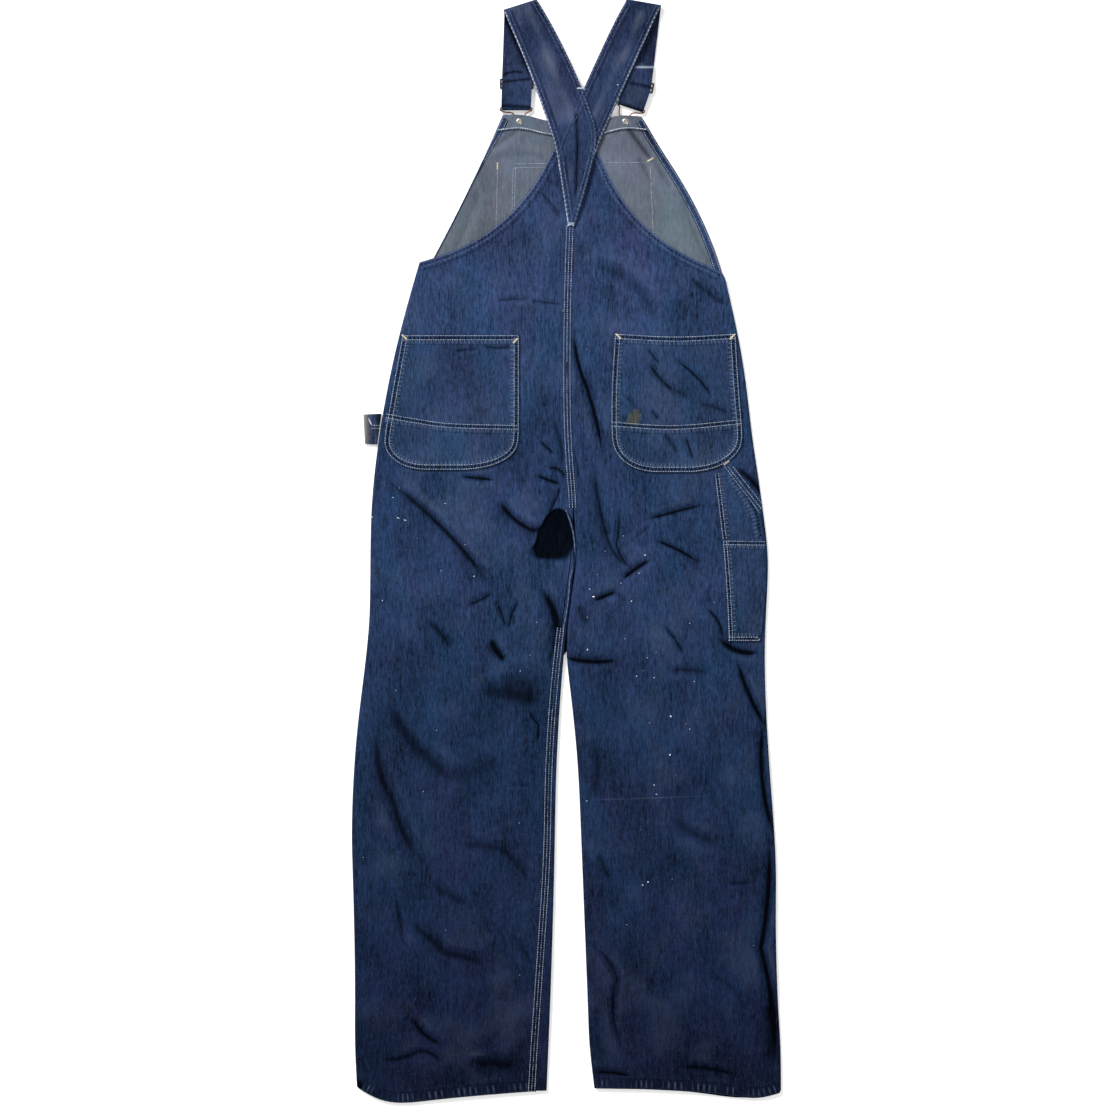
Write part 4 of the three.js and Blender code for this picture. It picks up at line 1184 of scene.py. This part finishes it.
# ---- Straps ----
# Two straps of doubled denim cross on the back and are sewn down in a point. Each goes over the shoulder
# and down through its slide to its hook. Their edges are folded in, sewn twice and worn to a white line.

def strap_edge(across, along):
    """The folded edge of a strap, thick and puckered, with pale worn ticks at its fold, painted shade in the
    valley inside it and a painted shadow along its inner edge.
    """
    height = 0.7 * ease(0, 1.0, across) * ease(10.5, 7.5, across)
    pucker = wave(along, 5.6, 41)
    height -= 0.35 * bell((across - 4.2) / 1.3) * ease(0.3, 0.9, pucker)
    shade = 0.65 * ease(0.5, 1, wave(along, 5.6, 43)) * bell((across - 1.4) / 1.5)
    shade -= 0.75 * ease(0.3, 0.9, pucker) * bell((across - 4.2) / 1.1)
    return height, shade - 0.3 * bell((across - 9.2) / 1.1)


def worn_strap_edge(across, along):
    """The same edge where its fold has rubbed through to a white line."""
    height, shade = strap_edge(across, along)
    return height, shade + (0.55 + 0.45 * wave(along, 60.0, 47)) * bell((across - 0.7) / 1.0)


strap_creases = [
    ([(0.011, 0.576), (0.0125, 0.540), (0.0112, 0.500), (0.0110, 0.455)], 3.0, 0.9),
    ([(-0.030, 0.690), (-0.008, 0.650), (0.012, 0.606)], 6.0, 0.15),
    ([(0.072, 0.700), (0.060, 0.660), (0.044, 0.622)], 6.0, 0.15),
    ([(0.013, 0.573), (0.002, 0.553), (-0.010, 0.532)], 3.0, 0.28),
]


def strap_drape(x, y):
    height = 0.25 * rumple(x, y, 0.030, 51) + 0.12 * rumple(x, y, 0.013, 52)
    shade = 0.14 * rumple(x, y, 0.025, 53)
    for points, width, shadow in strap_creases:
        distance, _ = from_line(curved(points), x, y)
        across = distance / (width * millimetre)
        # Painted shade along each crease.
        shade -= shadow * bell(across / 0.7)
        height -= 0.5 * shadow * bell(across)
    for points in ([(-0.052, 0.712), (-0.028, 0.655), (-0.004, 0.600), (0.012, 0.560)],
                   [(0.096, 0.712), (0.074, 0.655), (0.046, 0.600), (0.032, 0.575)]):
        distance, _ = from_line(curved(points), x, y)
        shade += 0.22 * bell(distance / 0.005) * (0.6 + 0.4 * rumple(x, y, 0.02, 54))
    return height * millimetre, shade


# Painted shadows and fold shade on the parts that have gone over the shoulder, the first of them the shadow
# that the strap above casts on them, and one pale bar where the darkness is below 0: a chain of arcs, then
# half the width and how dark, all but the darkness in millimetres.
front_folds = [
    ([(-82, 708), 0, (-61, 662), 0, (-48, 632)], 5.5, 1.0),
    ([(-88, 628), 3, (-61, 633)], 1.6, 0.85),
    ([(-88, 620), 0, (-51, 624)], 1.6, 0.8),
    ([(-88, 589), 0, (-51, 587)], 2.4, 0.8),
    ([(90, 640), 0, (114, 640)], 1.5, -0.9),
    ([(83, 619), 0, (110, 613)], 1.8, 0.9),
    ([(65, 591), 0, (101, 581)], 2.2, 0.8),
]
# The heights between which a strap's unevenness sets in, the height above which it lies on the back, and
# how far down the garment its front part can reach.
strap_low, strap_high, back_level, front_ends = 0.0055, 0.0066, 0.0064, 0.57
strap_layers = []
strap_rows = []
strap_runs = {
    "left": [((0.000, 0.431), (-0.013, 0.510), (-0.0835, 0.712)),
             ((0.009, 0.431), (0.039, 0.566), (-0.041, 0.728))],
    "right": [((-0.002, 0.453), (-0.014, 0.530), (0.0765, 0.726)),
              ((0.014, 0.453), (0.046, 0.556), (0.1225, 0.718))],
}
for side, (left_run, right_run) in strap_runs.items():
    strap = shell_of(f"strap_{side}", f"shoulder_strap_{side}", 3)
    outlines[f"strap_{side}"] = outline_of(strap)
    points, normals = points_of(strap), normals_of(strap)
    height, shade = strap_drape(points[:, 0], points[:, 1])
    points[:, 2] += height * ease(strap_low, strap_high, points[:, 2])
    front = (points[:, 2] < back_level) & (points[:, 1] > front_ends)
    front_shade = -0.05 + 0.12 * rumple(points[:, 0], points[:, 1], 0.014, 55)
    # The fronts are painted with these shadows and this fold shade.
    for chain, half, dark in front_folds:
        distance, _ = from_line(crease_line(chain), points[:, 0], points[:, 1])
        front_shade -= dark * bell(distance / (half * millimetre))
    shade = np.where(front, front_shade, shade)
    reshape(strap, points, shade)
    strap.data.materials.append(strap_denim)
    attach(strap, "root")
    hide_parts(f"strap_{side}")
    strap_layers.append(strap)
    rubbed = "outer" if side == "left" else "inner"
    edges = [sewn_edge(f"strap_edge_{side}_{place}", stretch(outlines[f"strap_{side}"], *run),
                       width * millimetre, worn_strap_edge if place == rubbed else strap_edge,
                       [strap], strap_denim)
             for place, run, width in (("outer", left_run, 11), ("inner", right_run, -11))]
    strap_layers += edges
    for run, turned in ((left_run, -1), (right_run, 1)):
        line = spaced(stretch(outlines[f"strap_{side}"], *run), line_pitch)
        strap_rows += [beside(line, turned * inset * millimetre) for inset in (1.8, 6.6)]
blue_thread = thread_material("blue thread", (118, 132, 166), (54, 68, 106))
stitches("strap_stitches", strap_rows, strap_layers, blue_thread, thick=0.6)


# ---- Armholes ----
# The back's armholes are turned in narrowly and sewn twice in blue. The edge has worn to a pale line,
# more strongly towards the straps.

def armhole_edge(across, along):
    # Painted shade darkens the dimples between the rows and a line along the hem's inner edge; the pale edge
    # and the pale ticks are wear.
    height = 0.75 * ease(0, 1.0, across) * ease(12, 8.5, across)
    pucker = wave(along, 5.4, 61)
    dimple = ease(0.3, 0.9, pucker)
    height -= 0.35 * bell((across - 4.0) / 1.2) * dimple
    shade = (0.4 + 0.4 * ease(60, 110, along)) * bell((across - 0.5) / 0.9)
    shade -= 0.75 * bell((across - 4.0) / 1.2) * dimple
    shade += 0.25 * ease(0.5, 1.0, wave(along, 5.4, 63)) * bell((across - 8.0) / 2.5)
    return height, shade - 0.3 * bell((across - 10.4) / 1.0)


armhole_rows = []
for side, ends, width, panel in (
        ("left", ((-0.194, 0.386), (-0.089, 0.426), (-0.036, 0.497)), 12.5, back_left),
        ("right", ((0.203, 0.370), (0.109, 0.418), (0.055, 0.494)), -12.5, back_right)):
    edge = stretch(outlines[f"back_{side}"], *ends)
    edge = edge[np.argsort(edge[:, 0])[::1 if side == "left" else -1]]
    edge = spaced(np.r_[edge, [(-0.0205, 0.5275) if side == "left" else (0.040, 0.5275)]], row_pitch)
    edge[1:-1] = (edge[:-2] + edge[1:-1] + edge[2:]) / 3
    hem = sewn_edge(f"armhole_{side}", edge, width * millimetre, armhole_edge, [panel], body_denim)
    turned = -math.copysign(1, width)
    rows = [beside(spaced(edge, line_pitch), turned * inset * millimetre) for inset in (1.9, 7.0)]
    armhole_rows.append((rows, [panel, hem]))
for side, (rows, on) in zip(("left", "right"), armhole_rows):
    stitches(f"armhole_stitches_{side}", rows, on, blue_thread, thick=0.6)


# ---- Bartacks ----
# Short bars of close white and gold stitches where the cloth is under strain: at the pockets' corners,
# where the straps cross and end, on the hammer loop and on the bib.

tack_layers = [back_left, back_right] + [piece for piece in bpy.data.objects
                                         if piece.name.startswith(("back_pocket", "tool_pocket"))
                                         and piece.name.endswith(("patch", "edge", "hem", "mouth", "slant"))]
stitches("pocket_bartacks", tack_rows, tack_layers, gold_thread, length=2.6, pitch=2.6, thick=0.85)
cross_tack = corner_tack((0.0172, 0.6110), 0)
point_tack = corner_tack((0.0035, 0.4318), 22) + corner_tack((0.0040, 0.4325), -28)
stitches("strap_bartacks", cross_tack + point_tack, strap_layers + panels, white_thread,
         length=2.4, pitch=2.4, thick=0.8)
stitches("loop_bartack", loop_tack, [loop], white_thread, length=2.2, pitch=2.2, thick=0.8)
bib_tacks = corner_tack((-0.093, 0.5095), 88) + corner_tack((0.109, 0.5175), 30)
stitches("bib_bartacks", bib_tacks, [bib], gold_thread, length=2.4, pitch=2.4, thick=0.8)


# ---- Fittings ----
# Each strap runs through a dark steel slide and ends in a loop round a bronzed wire hook. The hook holds
# a button on the front of the bib, whose silvery tack shows on the inside.

def metal(name, colour, tarnish, rough):
    """Plated metal that has dulled in patches."""
    material, tree, shader = new_material(name)
    _, patches, share = mottled(tree, shader, 480.0, 4.0, 0.4, 0.62, colour, tarnish)
    dull = calculate(tree, "ADD", calculate(tree, "MULTIPLY", share, 0.25), rough)
    tree.links.new(dull, shader.inputs["Roughness"])
    emboss(tree, shader, patches, 0.25, 0.0002)
    shader.inputs["Metallic"].default_value = 1.0
    return material


silver = metal("silvered tack", (214, 212, 204), (140, 134, 122), 0.28)
bronze = metal("bronzed wire", (150, 104, 76), (70, 48, 40), 0.3)
dark_steel = metal("blackened steel", (96, 88, 84), (40, 36, 36), 0.35)

for side in ("left", "right"):
    slide = frame["nodes"][f"slide_{side}"]
    slide.data.materials.clear()
    slide.data.materials.append(dark_steel)


def wire_hook(side, button, bar_left, bar_right):
    """A closed wire: along the bar in the strap's loop, down past both of its ends, and round the button."""
    left, right = Vector(bar_left), Vector(bar_right)
    along = (right - left).normalized()
    down = Vector((along.y, -along.x))
    low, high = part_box(f"hook_{side}")
    level = (low.z + high.z) / 2

    def off(point, run, fall):
        return point + millimetre * (run * along + fall * down)

    def round_button(x, y):
        return Vector(button) + millimetre * Vector((x, y))

    route = [off(left, -1.0, 0), off(right, 1.0, 0), off(right, 1.4, 2.2), off(right, -2.5, 4.6),
             round_button(8, 10.8), round_button(5, 5), round_button(4.8, -1), round_button(0, -6),
             round_button(-4.8, -1), round_button(-5, 5), round_button(-8, 10.8),
             off(left, 2.5, 4.6), off(left, -1.4, 2.2)]
    data = bpy.data.curves.new(f"wire_hook_{side}", "CURVE")
    data.dimensions = "3D"
    data.bevel_depth = (high.z - low.z) / 2
    data.bevel_resolution = 3
    spline = data.splines.new("BEZIER")
    spline.bezier_points.add(len(route) - 1)
    for knot, place in zip(spline.bezier_points, route):
        knot.co = (place.x, place.y, level)
        knot.handle_left_type = knot.handle_right_type = "AUTO"
    spline.use_cyclic_u = True
    hook = bpy.data.objects.new(f"wire_hook_{side}", data)
    bpy.context.collection.objects.link(hook)
    pick(hook)
    bpy.ops.object.convert(target="MESH")
    bpy.ops.object.shade_smooth()
    hook = bpy.context.object
    hook.data.materials.clear()
    hook.data.materials.append(bronze)
    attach(hook, "root")
    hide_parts(f"hook_{side}")


wire_hook("left", (-0.064, 0.5676), (-0.088, 0.586), (-0.049, 0.586))
wire_hook("right", (0.076, 0.5676), (0.067, 0.594), (0.100, 0.583))


def select_face_towards(piece, direction):
    """In edit mode, selects the one face that is furthest out in a direction."""
    work = bmesh.from_edit_mesh(piece.data)
    for face in work.faces:
        face.select = False
    best = max(work.faces, key=lambda face: (face.calc_center_median() * 1000 + face.normal).dot(direction))
    best.select = True
    bmesh.update_edit_mesh(piece.data)


def turned_metal(name, node, steps, direction):
    """A round fitting: a disc whose outer face is inset and raised step by step, then smoothed."""
    low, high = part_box(node)
    centre = (low + high) / 2
    base = low.z if direction > 0 else high.z
    first = steps[0]
    bpy.ops.object.select_all(action="DESELECT")
    level = base + direction * first[1] * millimetre / 2
    bpy.ops.mesh.primitive_cylinder_add(vertices=36, radius=first[0] * millimetre,
                                        depth=first[1] * millimetre, location=(centre.x, centre.y, level))
    piece = bpy.context.object
    piece.name = name
    bpy.ops.object.transform_apply(location=True, rotation=True, scale=True)
    bpy.ops.object.mode_set(mode="EDIT")
    bpy.ops.mesh.select_mode(type="FACE")
    select_face_towards(piece, Vector((0, 0, direction)))
    radius = first[0]
    for next_radius, rise in steps[1:]:
        bpy.ops.mesh.inset(thickness=(radius - next_radius) * millimetre)
        bpy.ops.transform.translate(value=(0, 0, direction * rise * millimetre))
        radius = next_radius
    bpy.ops.object.mode_set(mode="OBJECT")
    bpy.ops.object.shade_smooth_by_angle(angle=math.radians(50))
    piece.data.materials.append(silver)
    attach(piece, "root")
    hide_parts(node)


for side in ("left", "right"):
    turned_metal(f"tack_{side}", f"button_tack_{side}",
                 [(4.2, 0.35), (4.0, 0.25), (3.5, 0.22), (2.8, 0.16), (1.9, 0.08), (1.5, -0.05),
                  (0.9, -0.14)], 1)
    turned_metal(f"button_{side}", f"bib_button_{side}",
                 [(3.0, 2.5), (7.9, 0.0), (8.5, 0.4), (8.4, 0.5), (7.6, 0.5), (6.9, -0.3), (2.4, 0.0),
                  (2.0, 0.2)], -1)


# ---- Paint ----
# Flecks of white and cream paint, mostly on the thighs and round the crotch: small dried drops that stand
# on the cloth, and three that ran.

def dried_drop(x, y, size, stretch_by, angle, on, rng):
    """The points and faces of one drop: an uneven dome on the cloth."""
    around = 9
    turns = np.arange(around) * 2 * math.pi / around
    reach = size * rng.uniform(0.75, 1.2, around)
    c, s = math.cos(angle), math.sin(angle)
    flat = np.c_[reach * np.cos(turns) * stretch_by, reach * np.sin(turns)] @ np.array([[c, s], [-s, c]])
    level = resting([(x, y)], on)[0]
    rim = np.c_[flat + (x, y), np.full(around, level - 0.25 * millimetre)]
    shoulder = np.c_[0.78 * flat + (x, y), np.full(around, level + 0.22 * millimetre)]
    points = np.r_[rim, shoulder, [(x, y, level + 0.32 * millimetre)], [(x, y, level - 0.4 * millimetre)]]
    faces = []
    for k in range(around):
        onward = (k + 1) % around
        faces += [(k, onward, around + onward, around + k), (around + k, around + onward, 2 * around),
                  (onward, k, 2 * around + 1)]
    return points, faces


white_paint, paint_tree, paint_shader = new_material("dried paint")
_, paint_soil, _ = mottled(paint_tree, paint_shader, 90.0, 3.0, 0.4, 0.6, (176, 186, 204), (226, 228, 228))
emboss(paint_tree, paint_shader, paint_soil, 0.3, 0.0003)
paint_shader.inputs["Roughness"].default_value = 0.55

# Places and sizes of the drops that stand out, in millimetres.
drops = [(136, -218, 1.2), (161, -235, 0.7), (135, -269, 1.0), (114, -309, 0.7), (117, -321, 0.7),
         (106, -437, 1.1), (99, -441, 0.8), (25, -330, 0.7), (-231, 71, 0.7), (-124, -33, 0.7),
         (-162, 63, 0.65), (-245, -65, 0.65), (-63, -158, 0.65), (102, -5, 1.0), (94, -29, 0.7),
         (29, -50, 0.8), (34, -60, 1.1), (84, -66, 0.9), (26, -130, 0.9), (91, -165, 0.7),
         (114, -167, 0.7), (167, -172, 0.7), (161, -95, 0.65), (66, 616, 0.8)]
# Three drops that ran as they dried, thin and slanting.
runs = [(-258, 45), (-224, 44), (-215, 41)]
drop_rng = np.random.default_rng(7)
shown_top = [back_left, back_right]
drop_points, drop_faces, made_drops = [], [], []
scattered = list(drops)
for centre, spread, count in (((70, -60), (50, 60), 6), ((-150, 20), (90, 60), 6),
                              ((120, -240), (110, 120), 9), ((-140, -300), (110, 180), 8),
                              ((140, -520), (100, 130), 7), ((20, 330), (150, 60), 3)):
    for _ in range(count):
        dx, dy = drop_rng.normal(0, 1, 2)
        scattered.append((centre[0] + dx * spread[0], centre[1] + dy * spread[1],
                          drop_rng.uniform(0.3, 0.55)))
drop_grounds = shown_top + [piece for piece in bpy.data.objects
                            if piece.name.endswith(("patch", "mouth", "well"))]
for x, y, size in scattered:
    x, y, size = x * millimetre, y * millimetre, size * millimetre
    over = [tree_of(piece).ray_cast(Vector((x, y, ray_height)), straight_down)[0] for piece in drop_grounds]
    on_cloth = any(hit is not None and hit.z > 0.003 for hit in over)
    if not on_cloth and size < 0.6 * millimetre:
        continue
    grounds = drop_grounds if y < 0.5 else strap_layers
    made_drops.append(dried_drop(x, y, size, drop_rng.uniform(1, 1.8), drop_rng.uniform(0, 3), grounds,
                                 drop_rng))
run_size, run_length, run_slant = 0.55 * millimetre, 4, -0.45
for x, y in runs:
    made_drops.append(dried_drop(x * millimetre, y * millimetre, run_size, run_length, run_slant, shown_top,
                                 drop_rng))
for points, faces in made_drops:
    base = sum(len(group) for group in drop_points)
    drop_points.append(points)
    drop_faces += [tuple(base + v for v in face) for face in faces]
finished("paint_drops", np.concatenate(drop_points), drop_faces, white_paint)


# ---- The cut of the cloth ----
# Each sheet's flat size and the area of the part of its cut that shows, in metres.


for side, width, length, area in (("left", 0.181, 0.181, 0.0299), ("right", 0.176, 0.185, 0.0297)):
    pocket = f"back_pocket_{side}"
